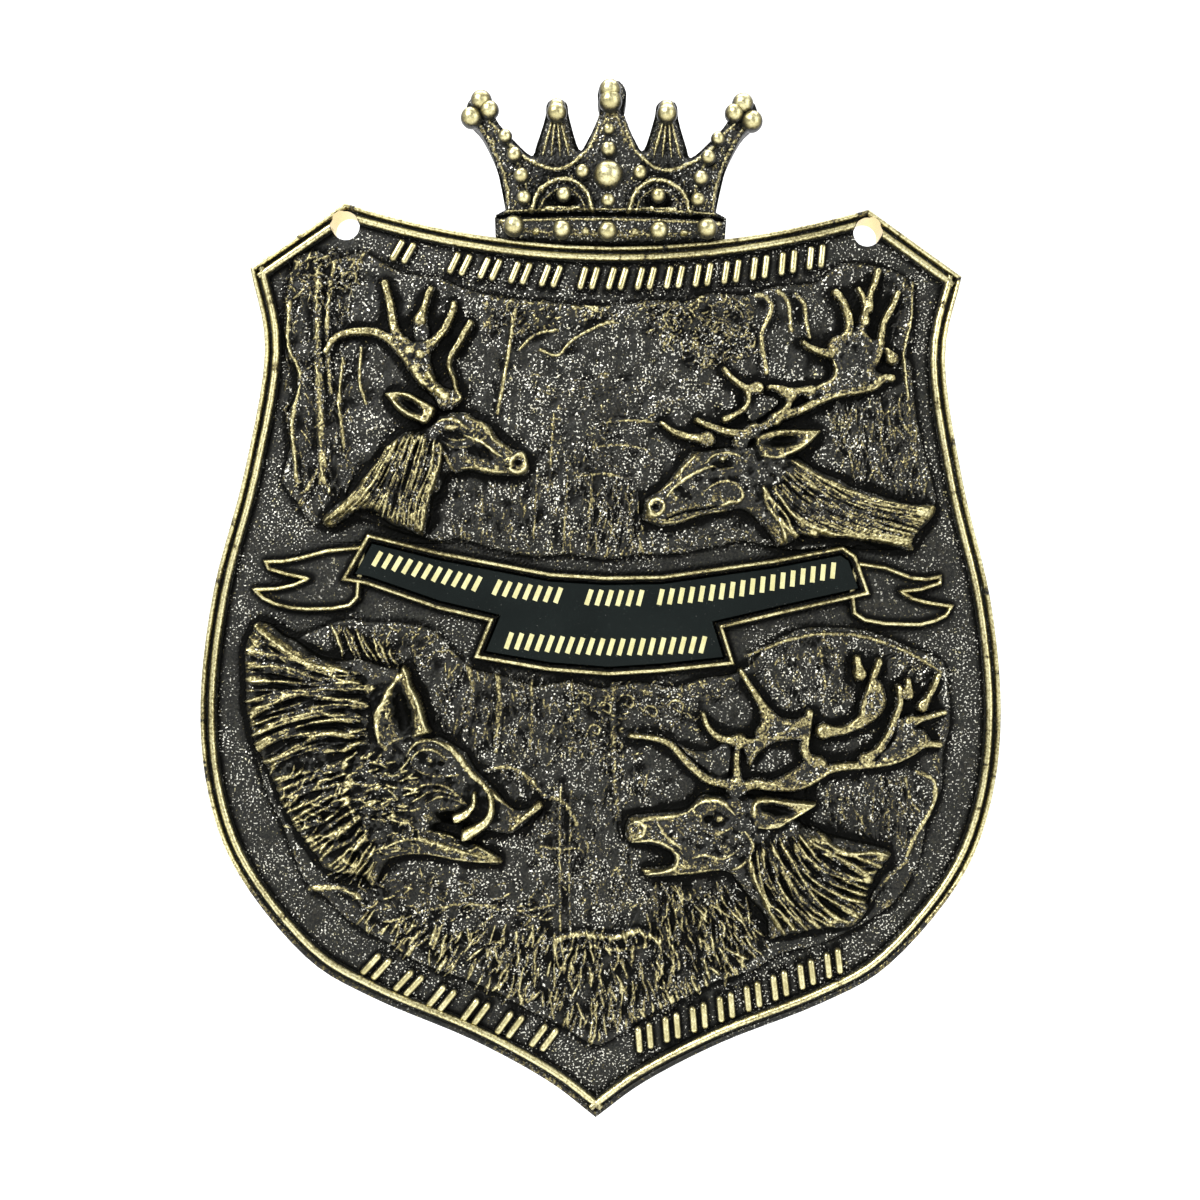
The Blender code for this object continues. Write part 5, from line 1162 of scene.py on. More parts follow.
def flat_back(loops, points):
    """The flat back of a piece: one face, or triangles where the piece has holes in it."""
    if len(loops) == 1:
        return [loops[0][::-1]]
    order = [k for loop in loops for k in loop]
    rings = [points[loop][:, (0, 2)] for loop in loops]
    return [[order[k] for k in triangle][::-1]
            for triangle, in_hole in filled(rings, -1) if not in_hole]


def ring_edges(rings):
    """The edges of closed outlines whose points are numbered one outline after the other."""
    edges, start = [], 0
    for ring in rings:
        edges += [(start + n, start + (n + 1) % len(ring)) for n in range(len(ring))]
        start += len(ring)
    return edges


def filled(rings, outer=0):
    """Triangles within the outer outline, and for each whether it lies in one of the others."""
    places = [Vector(place) for place in np.concatenate(rings)]
    found = delaunay_2d_cdt(places, ring_edges(rings), [], 0, 1e-6, True)
    others = [ring for ring in rings if ring is not rings[outer]]
    made = []
    for triangle in found[2]:
        x, z = np.mean([found[0][k] for k in triangle], axis=0)
        if inside(x, z, rings[outer]):
            made.append(([found[3][k][0] for k in triangle],
                         any(inside(x, z, ring) for ring in others)))
    return made


def slab_mesh(name, outer, holes, low, high):
    """A flat slab between two heights, with round holes whose walls take the second material."""
    rings = [np.asarray(outer)] + [np.asarray(hole) for hole in holes]
    flat = np.concatenate(rings)
    fronts = [triangle for triangle, in_hole in filled(rings) if not in_hole]
    count = len(flat)
    points = [(x, -height, z) for height in (high, low) for x, z in flat]
    backs = [[k + count for k in triangle[::-1]] for triangle in fronts]
    walls = [(b, a, a + count, b + count) for a, b in ring_edges(rings)]
    mesh = bpy.data.meshes.new(name)
    mesh.from_pydata((np.array(points) * MM).tolist(), [], fronts + backs + walls)
    bare = [0] * (len(fronts) + len(backs) + len(outer)) + [1] * (len(walls) - len(outer))
    mesh.polygons.foreach_set("material_index", bare)
    set_outward(mesh)
    return mesh


def set_outward(mesh):
    """Turns every face of a closed mesh outwards."""
    shape = bmesh.new()
    shape.from_mesh(mesh)
    bmesh.ops.recalc_face_normals(shape, faces=shape.faces)
    shape.to_mesh(mesh)
    shape.free()


def swept_mesh(name, ring, profile, wear):
    """A closed moulding along a closed outline.

    The profile gives, for each place on the ring, its corners as insets and heights; wear gives
    how far each corner's finish is worn.
    """
    count, corners = len(ring), len(profile[0])
    points = np.zeros((count, corners, 3))
    for k in range(corners):
        for inset in {p[k][0] for p in profile}:
            line = offset(ring, inset)
            mine = [n for n in range(count) if profile[n][k][0] == inset]
            points[mine, k, 0], points[mine, k, 2] = line[mine, 0], line[mine, 1]
        points[:, k, 1] = [-p[k][1] for p in profile]
    faces = []
    for n in range(count):
        m = (n + 1) % count
        for k in range(corners):
            q = (k + 1) % corners
            faces.append((n * corners + k, m * corners + k, m * corners + q, n * corners + q))
    mesh = bpy.data.meshes.new(name)
    mesh.from_pydata((points.reshape(-1, 3) * MM).tolist(), [], faces)
    add_values(mesh, {"wear": np.ravel(wear), "hollow": np.zeros(count * corners),
                      "grain": np.full(count * corners, MOULDING_GRAIN)})
    set_outward(mesh)
    mesh.shade_smooth()
    mesh.set_sharp_from_angle(angle=math.radians(SHARP_ANGLE))
    return mesh


def ragged(count, wavelength, seed):
    """A smooth random run of numbers that joins up with itself, with unit spread."""
    made = np.random.default_rng(seed).standard_normal(count)
    pull = np.exp(-(np.fft.rfftfreq(count) * wavelength) ** 2)
    made = np.fft.irfft(np.fft.rfft(made) * pull, count)
    return made / made.std()


def half_round(inset, radius, low, high, steps=8):
    """The corners of a half round bead that stands from one height to another."""
    turns = np.linspace(math.pi, 0, steps + 1)
    return [(inset + radius * math.cos(t), low + (high - low) * math.sin(t)) for t in turns]


def rim_mesh():
    """The rim: two beads on a raised bed, following the shield's outline."""
    ring = divided(shield_outline(5), RIM_STEP)
    count = len(ring)
    fade = np.clip((ring[:, 1] - LOW_RIM[1]) / (LOW_RIM[0] - LOW_RIM[1]), 0, 1)
    rough = ragged(count, 26, 5)
    nick = ragged(count, 5, 6)
    profiles, wear = [], []
    for n in range(count):
        share = LOW_BEAD_SHARE + (1 - LOW_BEAD_SHARE) * fade[n]
        outer_top = RIM_BED + (RIM_TOP - RIM_BED) * share
        outer = half_round(*OUTER_BEAD, RIM_BED - 0.2, outer_top)
        inner = half_round(*INNER_BEAD, RIM_BED, RIM_TOP - RIM_LAP)
        foot = [(RIM_WIDTH + RIM_LAP, GROUND - 0.1), (RIM_WIDTH + RIM_LAP, BODY_FRONT),
                (0.0, BODY_FRONT), (0.0, BODY_FRONT + 1.2)]
        profiles.append(outer + inner + foot)
        over = np.sin(np.linspace(0, math.pi, len(outer)))
        on_outer = (0.16 + 0.8 * fade[n] + 0.14 * rough[n] - 0.5 * (nick[n] < -1.7)) * over ** 0.5
        on_inner = (1.0 + 0.1 * rough[n] - 0.45 * (nick[n] > 1.9)) * over ** 0.42
        wear.append(np.concatenate([on_outer, on_inner, [0] * 3, [0.12 + 0.1 * rough[n]]]))
    return swept_mesh("shield_rim", ring, profiles, np.clip(wear, 0, 1))


def drill(piece):
    """Drills the two hanging holes through a piece; their walls take its second material."""
    for side in (-1, 1):
        ring = circle((side * HOLE_SPACING / 2, 0), HOLE_RADIUS, HOLE_SIDES)
        cutter_mesh = slab_mesh("cutter", ring, [], *CUTTER_REACH)
        cutter_mesh.polygons.foreach_set("material_index", [1] * len(cutter_mesh.polygons))
        cutter = bpy.data.objects.new("cutter", cutter_mesh)
        bpy.context.scene.collection.objects.link(cutter)
        cut = piece.modifiers.new("hanging_hole", "BOOLEAN")
        cut.operation, cut.solver, cut.object = "DIFFERENCE", "MANIFOLD", cutter
        settled(piece)
        bpy.data.objects.remove(cutter)


def settled(piece):
    """Makes a piece's modifiers into its plain mesh."""
    bpy.context.view_layer.update()
    graph = bpy.context.evaluated_depsgraph_get()
    made = bpy.data.meshes.new_from_object(piece.evaluated_get(graph))
    piece.modifiers.clear()
    made.name = piece.name
    piece.data = made


def circle(centre, radius, count):
    """Points evenly spaced around a circle."""
    turns = np.linspace(0, 2 * math.pi, count, endpoint=False)
    return np.stack([centre[0] + radius * np.cos(turns), centre[1] + radius * np.sin(turns)], 1)


def bead_mesh(name, outline, seed, behind=None):
    """A raised edge of the ribbon: one round bead along a closed outline.

    Where it runs behind the outline of another piece it is sunk out of sight.
    """
    ring = divided(np.array(shifted(outline)), BEAD_STEP)
    count = len(ring)
    bead = half_round(0.0, RIDGE_WIDTH / 2, RIBBON_LEVEL - 0.1, RIBBON_RIDGE_TOP)
    low = RIBBON_LEVEL - 0.5
    high = bead + [(RIDGE_WIDTH / 2, low), (-RIDGE_WIDTH / 2, low)]
    sunk = [(inset, min(height, RIBBON_LEVEL - 0.2)) for inset, height in high]
    hidden = np.array(shifted(behind)) if behind else np.zeros((0, 2))
    profiles = [sunk if inside(x, z, hidden) else high for x, z in ring]
    over = np.sin(np.linspace(0, math.pi, len(bead))) ** 0.6
    rough, nick = ragged(count, 14, seed), ragged(count, 4, seed + 20)
    wear = [np.append((0.9 + 0.1 * rough[n] - 0.4 * (nick[n] > 2.0)) * over, [0, 0])
            for n in range(count)]
    return swept_mesh(name, ring, profiles, np.clip(wear, 0, 1))


def crown_outline():
    """The crown's silhouette, closed along the shield's top edge."""
    xs = np.linspace(CENTRE + CROWN_FOOT_HALF, CENTRE - CROWN_FOOT_HALF, 25)
    right = [CROWN_HALF[0]] + [tuple(p) for p in smooth(CROWN_HALF[1:], steps=4)]
    left = [(-x, z) for x, z in right if x > 0]
    return np.array([(x, top_edge(x)) for x in xs] + shifted(left + right[::-1]))


def crown_relief():
    """The crown's swelling front: its band, arches, fluted points and carved borders.

    The photograph was taken from close by, so what stands on the swelling front is carved
    a little lower than it seems.
    """
    x, z = np.meshgrid(np.arange(*CROWN_SPAN, CROWN_CELL), np.arange(*CROWN_RISE, CROWN_CELL))
    r = Relief(x, z, 0.0)
    outline = crown_outline()
    d = r.inside_distance(outline, EVERYWHERE)
    swell = CROWN_SWELL * np.clip(1 - ((x - CENTRE) / CROWN_RADIUS) ** 2, 0, 1)
    r.h = CROWN_EDGE + swell * np.clip(d / CROWN_SHOULDER, 0, 1)
    r.grain[:] = CROWN_GRAIN
    r.z = z + CROWN_SINK
    for side in (-1, 1):
        def out(points):
            return [(CENTRE + side * a, b) for a, b in points]

        r.mark(out([(3.2, 3.0), (4.2, 6.4), (6.4, 8.4), (8.4, 8.9), (10.6, 8.4), (13, 6.6),
                    (14.2, 3.0)]), 1.2, 0.8, 0.6, point=False)
        r.mark(out([(4.6, 3.2), (5.4, 5.6), (8.4, 7.4), (11.6, 5.6), (12.8, 3.2)]), 0.6, 0.4, 0.3,
               point=False)
        r.swell((CENTRE + side * 8.6, 5.2), (3.6, 2.2), -1.1)
        r.mark(out([(5.6, 3.8), (8.6, 4.1), (11.6, 3.8)]), 0.8, 0.7, 0.7, point=False)
        r.mark(out([(18, 15.2), (14.6, 12.4), (11, 10.8), (8, 11), (5.4, 13), (3.4, 16.4),
                    (2.2, 20.4)]), 1.1, 0.6, 0.45, point=False)
        r.mark(out([(18.4, 3.4), (18.6, 7), (20, 12), (22.4, 17), (24.4, 19.8)]), 1.0, 0.5, 0.4,
               point=False)
        r.mark(out([(14.6, 3.6), (15, 7), (16.2, 11), (18, 14.6), (20, 17.6), (22, 19.6)]), 0.7,
               0.4, 0.3, point=False)
        for lean in (-1.5, -0.5, 0.5, 1.5):
            r.mark(out([(9.9 + lean * 0.5, 19.4), (9.9 + lean * 1.6, 13)]), 0.7, 0.45, 0.35)
        for a in (4.4, 13.2):
            r.swell((CENTRE + side * a, -0.3), (0.9, 0.8), 0.7, polish=0.6)
        r.scattered(out([(2.6, 9.4), (13, 9.4), (14.4, 12), (18.4, 14.6), (14, 5), (14, 3.4),
                         (3, 3.4)]), 55, 0.9, 0.45, 0.3, lambda x, z: 45, 90 + side, 0.8,
                    polish=0.5)
        r.scattered(out([(15, 4), (18, 4), (23.6, 19), (20.6, 17.6)]), 30, 0.9, 0.45, 0.3,
                    lambda x, z: 60, 95 + side, 0.6, polish=0.6)
    r.mark([(CENTRE - 20, 2.5), (CENTRE, 2.8), (CENTRE + 20, 2.5)], 0.9, -0.9, point=False)
    r.mark([(CENTRE - 19, 3.3), (CENTRE, 3.6), (CENTRE + 19, 3.3)], 0.6, 0.4, 0.4, point=False)
    foot = [(CENTRE + a, top_edge(CENTRE + a) + 0.7) for a in np.linspace(-19.6, 19.6, 9)]
    r.mark(foot, 0.8, 0.35, 0.35, point=False)
    r.mark([(CENTRE - 19.8, 1.6), (CENTRE, 1.8), (CENTRE + 19.8, 1.6)], 0.7, 0.35, 0.45,
           point=False)
    r.h += waves(x.shape, CROWN_CELL, CROWN_GRIT)
    r.z = z
    return r, outline, d > 0


def height_at(r, x, z, reach):
    """The greatest height of a carved face within a reach of a place."""
    near = np.hypot(r.x - x, r.z - z) < reach
    return r.h[near].max()


class Nodes:
    """A node tree that is made one node at a time."""

    def __init__(self, tree):
        self.nodes, self.links = tree.nodes, tree.links

    def add(self, kind, inputs=None, **settings):
        """Adds a node; its inputs are values or other nodes' outputs."""
        node = self.nodes.new(kind)
        for key, value in settings.items():
            setattr(node, key, value)
        for key, value in (inputs or {}).items():
            self.feed(node.inputs[key], value)
        return node

    def feed(self, socket, value):
        """Sets a socket to a value or joins another node's output to it."""
        if isinstance(value, bpy.types.NodeSocket):
            self.links.new(value, socket)
        else:
            socket.default_value = value


class Tree(Nodes):
    """A Geometry Nodes tree with named inputs."""

    def __init__(self, name):
        self.tree = bpy.data.node_groups.new(name, "GeometryNodeTree")
        super().__init__(self.tree)
        self.tree.interface.new_socket("Geometry", in_out="INPUT",
                                       socket_type="NodeSocketGeometry")
        self.tree.interface.new_socket("Geometry", in_out="OUTPUT",
                                       socket_type="NodeSocketGeometry")
        self.start = self.add("NodeGroupInput")
        self.sockets = {}

    def size(self, name, value):
        """A named size that the modifier can set."""
        socket = self.tree.interface.new_socket(name, in_out="INPUT",
                                                socket_type="NodeSocketFloat")
        socket.default_value = value
        self.sockets[name] = (socket.identifier, value)
        return self.start.outputs[name]

    def named(self, name, kind="FLOAT"):
        """The value of a named attribute."""
        return self.add("GeometryNodeInputNamedAttribute", {"Name": name},
                        data_type=kind).outputs["Attribute"]

    def finish(self, instances, material):
        """Ends the tree by making the copies real and giving them their material."""
        real = self.add("GeometryNodeRealizeInstances", {"Geometry": instances})
        smooth_shade = self.add("GeometryNodeSetShadeSmooth",
                                {"Geometry": real.outputs["Geometry"]})
        dressed = self.add("GeometryNodeSetMaterial",
                           {"Geometry": smooth_shade.outputs["Geometry"], "Material": material})
        self.add("NodeGroupOutput", {"Geometry": dressed.outputs["Geometry"]})

    def grown(self, name, points, values):
        """A plain mesh piece made by the tree from points with values."""
        mesh = bpy.data.meshes.new(name)
        mesh.from_pydata((np.asarray(points) * MM).tolist(), [], [])
        add_values(mesh, values)
        piece = bpy.data.objects.new(name, mesh)
        bpy.context.scene.collection.objects.link(piece)
        modifier = piece.modifiers.new(name, "NODES")
        modifier.node_group = self.tree
        for identifier, value in self.sockets.values():
            modifier[identifier] = value
        settled(piece)
        return piece


def pearls(name, places, material):
    """Round pearls of their own radii, a little deeper from front to back than across."""
    tree = Tree("pearl_setting")
    rise = tree.size("Rise", PEARL_RISE)
    radius = tree.named("radius")
    ball = tree.add("GeometryNodeMeshIcoSphere", {"Radius": 1.0, "Subdivisions": 4})
    deep = tree.add("ShaderNodeMath", {0: radius, 1: rise}, operation="MULTIPLY").outputs[0]
    scale = tree.add("ShaderNodeCombineXYZ", {"X": radius, "Y": deep, "Z": radius})
    placed = tree.add("GeometryNodeInstanceOnPoints",
                      {"Points": tree.start.outputs["Geometry"],
                       "Instance": ball.outputs["Mesh"], "Scale": scale.outputs["Vector"]})
    tree.finish(placed.outputs["Instances"], material)
    return tree.grown(name, [(x, -h, z) for x, z, h, _ in places],
                      {"radius": [size * MM for *_, size in places]})


def row_places(guide, count):
    """Places evenly spaced along a smooth guide, with the guide's slope at each."""
    path = smooth(guide, steps=12)
    reach = np.concatenate([[0], np.cumsum(np.linalg.norm(np.diff(path, axis=0), axis=1))])
    for at in np.linspace(0, reach[-1], count):
        x, z = (np.interp(at, reach, path[:, k]) for k in range(2))
        ahead = [np.interp(at + 0.5, reach, path[:, k]) - np.interp(at - 0.5, reach, path[:, k])
                 for k in range(2)]
        yield x, z, math.atan2(ahead[1], ahead[0])


def raised_stroke_places():
    """Each raised stroke of the inscription's rows: its place, lean and length."""
    guides = []
    for first, last, count in TOP_ROW_RUNS:
        xs = np.linspace(first, max(last, first + 1), 5)
        guides.append(([(x + CENTRE, TOP_ROW_HEIGHT + x * x / TOP_ROW_BEND) for x in xs], count,
                       STROKE_TALL))
    guides += [(guide, count, STROKE_TALL * share) for guide, count, share in LOWER_ROWS]
    for guide, count, tall in guides:
        for x, z, slope in row_places(guide, count):
            for shift in (-STROKE_PITCH / 2, STROKE_PITCH / 2):
                yield (x + shift * math.cos(slope), z + shift * math.sin(slope),
                       slope - math.radians(STROKE_LEAN), tall)


def raised_strokes(name, material):
    """Flat topped strokes with rounded shoulders and ends, in rows."""
    tree = Tree("stroke_setting")
    wide = tree.size("Width", STROKE_WIDE * MM)
    deep = tree.size("Depth", 2 * (STROKE_TOP - GROUND) * MM)
    section = tree.add("GeometryNodeCurvePrimitiveQuadrilateral", {"Width": wide, "Height": deep})
    shoulder = tree.size("Shoulder", STROKE_SHOULDER * MM)
    rounded = tree.add("GeometryNodeFilletCurve",
                       {"Curve": section.outputs["Curve"], "Radius": shoulder})
    for socket in rounded.inputs:
        if socket.name == "Limit Radius":
            socket.default_value = True
    run = tree.add("GeometryNodeCurvePrimitiveLine", {"Start": (0, 0, -0.5), "End": (0, 0, 0.5)})
    divided_run = tree.add("GeometryNodeResampleCurve",
                           {"Curve": run.outputs["Curve"], "Count": STROKE_RINGS})
    along = tree.add("GeometryNodeSplineParameter").outputs["Factor"]
    middle = tree.add("ShaderNodeMath", {0: along, 1: 0.5}, operation="SUBTRACT").outputs[0]
    size = tree.add("ShaderNodeMath", {0: middle}, operation="ABSOLUTE").outputs[0]
    taper = tree.add("ShaderNodeMapRange", {"Value": size, **STROKE_TAPER})
    square = tree.add("ShaderNodeMath", {0: taper.outputs[0], 1: taper.outputs[0]},
                      operation="MULTIPLY").outputs[0]
    rest = tree.add("ShaderNodeMath", {0: 1.0, 1: square}, operation="SUBTRACT").outputs[0]
    radius = tree.add("ShaderNodeMath", {0: rest}, operation="SQRT").outputs[0]
    shaped = tree.add("GeometryNodeSetCurveRadius",
                      {"Curve": divided_run.outputs["Curve"], "Radius": radius})
    bar = tree.add("GeometryNodeCurveToMesh",
                   {"Curve": shaped.outputs["Curve"], "Profile Curve": rounded.outputs["Curve"],
                    "Fill Caps": True})
    if "Scale" in bar.inputs:
        tree.feed(bar.inputs["Scale"], radius)
    turn = tree.add("ShaderNodeCombineXYZ", {"Y": tree.named("lean")})
    scale = tree.add("ShaderNodeCombineXYZ", {"X": 1.0, "Y": 1.0, "Z": tree.named("tall")})
    placed = tree.add("GeometryNodeInstanceOnPoints",
                      {"Points": tree.start.outputs["Geometry"], "Instance": bar.outputs["Mesh"],
                       "Rotation": turn.outputs["Vector"], "Scale": scale.outputs["Vector"]})
    tree.finish(placed.outputs["Instances"], material)
    places = list(raised_stroke_places())
    return tree.grown(name, [(x, -GROUND, z) for x, z, *_ in places],
                      {"lean": [-lean for _, _, lean, _ in places],
                       "tall": [tall * MM for *_, tall in places]})


def printed_strokes():
    """The corners of each stroke printed on the plate: two rows of plain leaning bars."""
    bars = []
    for guide, count, tall, gaps in PRINTED_ROWS:
        for k, (x, z, slope) in enumerate(row_places(guide, count)):
            if k in gaps:
                continue
            lean = slope - math.radians(STROKE_LEAN)
            c, s = math.cos(lean), math.sin(lean)
            corners = [(u * PRINT_HALF_WIDE, v * (tall / 2))
                       for u, v in ((-1, -1), (1, -1), (1, 1), (-1, 1))]
            bars.append([(x + a * c - b * s, z + a * s + b * c) for a, b in corners])
    return bars


def plate_mesh():
    """The black plate with its bevelled arris; the printed strokes are faces of their own."""
    edge = offset(shifted(RIBBON), PLATE_INSET)
    rings = [offset(edge, PLATE_ARRIS)] + [np.array(bar) for bar in printed_strokes()]
    flat = np.concatenate(rings)
    fronts, printed = zip(*filled(rings))
    count = len(edge)
    points = [(x, -PLATE_FRONT, z) for x, z in flat]
    for height in (PLATE_FRONT - PLATE_ARRIS, PLATE_BACK):
        points += [(x, -height, z) for x, z in edge]
    first, second = len(flat), len(flat) + count
    sides = []
    for n in range(count):
        m = (n + 1) % count
        sides.append((n, m, first + m, first + n))
        sides.append((first + n, first + m, second + m, second + n))
    mesh = bpy.data.meshes.new("inscription_plate")
    mesh.from_pydata((np.array(points) * MM).tolist(), [],
                     list(fronts) + sides + [[second + n for n in range(count)]])
    mesh.polygons.foreach_set("material_index",
                              [int(p) for p in printed] + [0] * (len(sides) + 1))
    set_outward(mesh)
    return mesh


class Finish(Nodes):
    """A node material, built around its Principled shader."""

    def __init__(self, name):
        self.material = bpy.data.materials.new(name)
        self.material.use_nodes = True
        super().__init__(self.material.node_tree)
        self.shader = self.nodes["Principled BSDF"]
        self.place = self.add("ShaderNodeTexCoord").outputs["Object"]

    def attribute(self, name):
        """The number that a piece stores at each of its points."""
        return self.add("ShaderNodeAttribute", attribute_name=name).outputs["Fac"]

    def noise(self, size, detail=2.0, roughness=0.5):
        """Noise of a size in millimetres."""
        return self.add("ShaderNodeTexNoise", {"Vector": self.place, "Scale": 1 / (size * MM),
                                               "Detail": detail, "Roughness": roughness},
                        ).outputs["Fac"]

    def math(self, operation, a, b=0.0, clamp=False):
        """One sum on numbers or outputs."""
        return self.add("ShaderNodeMath", {0: a, 1: b}, operation=operation,
                        use_clamp=clamp).outputs[0]

    def spread(self, value, low, high, start=0.0, end=1.0):
        """A value stretched from one range to another, smoothly at both ends."""
        return self.add("ShaderNodeMapRange",
                        {"Value": value, "From Min": low, "From Max": high, "To Min": start,
                         "To Max": end}, interpolation_type="SMOOTHSTEP").outputs["Result"]

    def mix(self, amount, a, b):
        """A mix of two colours."""
        node = self.add("ShaderNodeMix", data_type="RGBA")
        self.feed(node.inputs[0], amount)
        self.feed(node.inputs[6], a)
        self.feed(node.inputs[7], b)
        return node.outputs[2]

    def bump(self, height, depth, strength=1.0):
        """Bumps of a depth in millimetres."""
        node = self.add("ShaderNodeBump", {"Height": height, "Distance": depth * MM,
                                           "Strength": strength})
        self.feed(self.shader.inputs["Normal"], node.outputs["Normal"])

    def set(self, **values):
        """Sets the shader's own sockets by name."""
        for key, value in values.items():
            self.feed(self.shader.inputs[key.replace("_", " ")], value)


PATINA_DARK = (0.0015, 0.0016, 0.0012, 1)
PATINA = (0.012, 0.0125, 0.0092, 1)
PATINA_BROWN = (0.02, 0.0178, 0.0115, 1)
# Pale colour of the painted glints
PAINTED_GLINT = (0.66, 0.65, 0.57, 1)
BRASS = (0.43, 0.385, 0.19, 1)
BRASS_PALE = (0.76, 0.71, 0.42, 1)
BRASS_DEEP = (0.13, 0.105, 0.045, 1)


def antique_brass():
    """Cast brass: black patina with painted shade in the hollows, painted pale glints on the
    grain, bare brass on ridges.
    """
    f = Finish("antique_brass")
    wear, hollow, grain = (f.attribute(name) for name in ("wear", "hollow", "grain"))
    fine, speckle, broad = f.noise(0.45, 4.0, 0.65), f.noise(0.36, 1.0, 0.4), f.noise(9.0, 2.0)
    tint = f.noise(2.4, 3.0, 0.6)
    ground = f.mix(f.spread(tint, 0.45, 0.7, 0, 0.6), PATINA, PATINA_BROWN)
    # Darker in the grit's low spots and in hollows: patina, with painted shade in the hollows
    pits = f.spread(fine, 0.57, 0.41, 0, 0.95)
    ground = f.mix(f.math("MAXIMUM", pits, f.spread(hollow, 0.03, 0.4)), ground, PATINA_DARK)
    # Painted glints: pale specks on the grain, some brass-toned, denser where the grain is high
    painted_glint_density = f.math("MULTIPLY", grain, f.spread(broad, 0.3, 0.62, 0.35, 1.0))
    painted_glint = f.spread(f.math("ADD", speckle, f.math("MULTIPLY", painted_glint_density, 0.1)), 0.655, 0.74)
    painted_glint = f.math("MULTIPLY", painted_glint, f.spread(painted_glint_density, 0.1, 0.4), True)
    glint = f.mix(f.spread(tint, 0.3, 0.46), BRASS, PAINTED_GLINT)
    ground = f.mix(painted_glint, ground, glint)
    worn = f.math("ADD", wear, f.math("MULTIPLY", f.math("SUBTRACT", fine, 0.5), 2.3))
    bare = f.spread(worn, 0.34, 0.54)
    brass = f.mix(f.spread(worn, 0.4, 0.95), BRASS_DEEP, BRASS)
    brass = f.mix(f.spread(worn, 0.7, 1.3), brass, BRASS_PALE)
    f.set(Base_Color=f.mix(bare, ground, brass))
    metal = f.math("MAXIMUM", bare, f.math("MULTIPLY", painted_glint, 0.8))
    # Reflections weaken in hollows: painted shade
    f.set(Metallic=metal, Roughness=f.spread(metal, 0, 1, 0.5, 0.32),
          Specular_IOR_Level=f.spread(hollow, 0.0, 0.5, 0.22, 0.04))
    f.bump(f.math("ADD", fine, f.math("MULTIPLY", speckle, 0.8)), 0.07, 0.6)
    return f.material


def polished_brass():
    """The worn tops of the pearls and strokes, with patina and painted shade on their sides: the
    brass darkens as it turns away from the front.
    """
    f = Finish("polished_brass")
    # How far each place faces the front: it sets both the wear and a painted shade on the sides
    facing = f.add("ShaderNodeSeparateXYZ",
                   {"Vector": f.add("ShaderNodeNewGeometry").outputs["Normal"]}).outputs["Y"]
    facing = f.math("MULTIPLY", facing, -1.0)
    fine, broad = f.noise(0.4, 3.0, 0.6), f.noise(3.0, 2.0)
    worn = f.math("ADD", facing, f.math("MULTIPLY", f.math("SUBTRACT", fine, 0.5), 0.9))
    bare = f.spread(worn, 0.36, 0.66)
    brass = f.mix(f.spread(f.math("ADD", broad, fine), 0.85, 1.3), BRASS, BRASS_PALE)
    # Brass darkens towards the sides: painted shade
    brass = f.mix(f.spread(facing, 0.4, 0.92), BRASS_DEEP, brass)
    f.set(Base_Color=f.mix(bare, PATINA, brass), Metallic=bare,
          Roughness=f.spread(fine, 0.3, 0.7, 0.26, 0.42))
    f.bump(fine, 0.02, 0.5)
    return f.material


def bare_brass():
    """Freshly drilled brass inside the hanging holes, with fine turning marks."""
    f = Finish("drilled_brass")
    rings = f.add("ShaderNodeTexWave", {"Vector": f.place, "Scale": 900.0, "Distortion": 1.5},
                  wave_type="BANDS", bands_direction="Y").outputs["Fac"]
    f.set(Base_Color=f.mix(rings, (0.5, 0.36, 0.13, 1), (0.8, 0.64, 0.3, 1)), Metallic=1.0,
          Roughness=f.spread(rings, 0, 1, 0.25, 0.4))
    f.bump(rings, 0.02, 0.4)
    return f.material


def cast_back():
    """The plain cast back and walls: dark patina over a sandy casting skin."""
    f = Finish("cast_back")
    sand, broad = f.noise(0.5, 3.0, 0.6), f.noise(7.0, 3.0, 0.6)
    skin = f.mix(f.spread(broad, 0.35, 0.7), PATINA_DARK, PATINA_BROWN)
    worn = f.spread(f.math("ADD", sand, f.math("MULTIPLY", broad, 0.4)), 0.78, 0.95)
    f.set(Base_Color=f.mix(f.math("MULTIPLY", worn, 0.5), skin, BRASS_DEEP),
          Metallic=f.math("MULTIPLY", worn, 0.6), Roughness=f.spread(sand, 0.3, 0.7, 0.42, 0.6))
    f.bump(f.math("ADD", sand, f.math("MULTIPLY", broad, 2.0)), 0.12, 0.7)
    return f.material


def black_gloss():
    """Glossy black enamel with a trace of haze and dust."""
    f = Finish("black_gloss")
    haze, dust = f.noise(12.0, 3.0), f.noise(0.35, 1.0)
    speck = f.spread(dust, 0.74, 0.8)
    base = f.mix(f.spread(haze, 0.3, 0.7), (0.0022, 0.0042, 0.0038, 1), (0.004, 0.0066, 0.006, 1))
    f.set(Base_Color=f.mix(f.math("MULTIPLY", speck, 0.2), base, (0.2, 0.2, 0.18, 1)),
          Roughness=f.spread(haze, 0.3, 0.7, 0.12, 0.2), Specular_IOR_Level=0.2)
    f.bump(haze, 0.01, 0.2)
    return f.material


def printed_gold():
    """Pale gold print, slightly uneven, on the black plate."""
    f = Finish("printed_gold")
    grain, broad = f.noise(0.2, 2.0), f.noise(2.0, 2.0)
    ink = f.mix(f.spread(f.math("ADD", grain, broad), 0.8, 1.25), (0.44, 0.41, 0.19, 1),
                (0.56, 0.53, 0.28, 1))
    f.set(Base_Color=ink, Roughness=f.spread(grain, 0.3, 0.7, 0.3, 0.45))
    f.bump(grain, 0.004, 0.3)
    return f.material


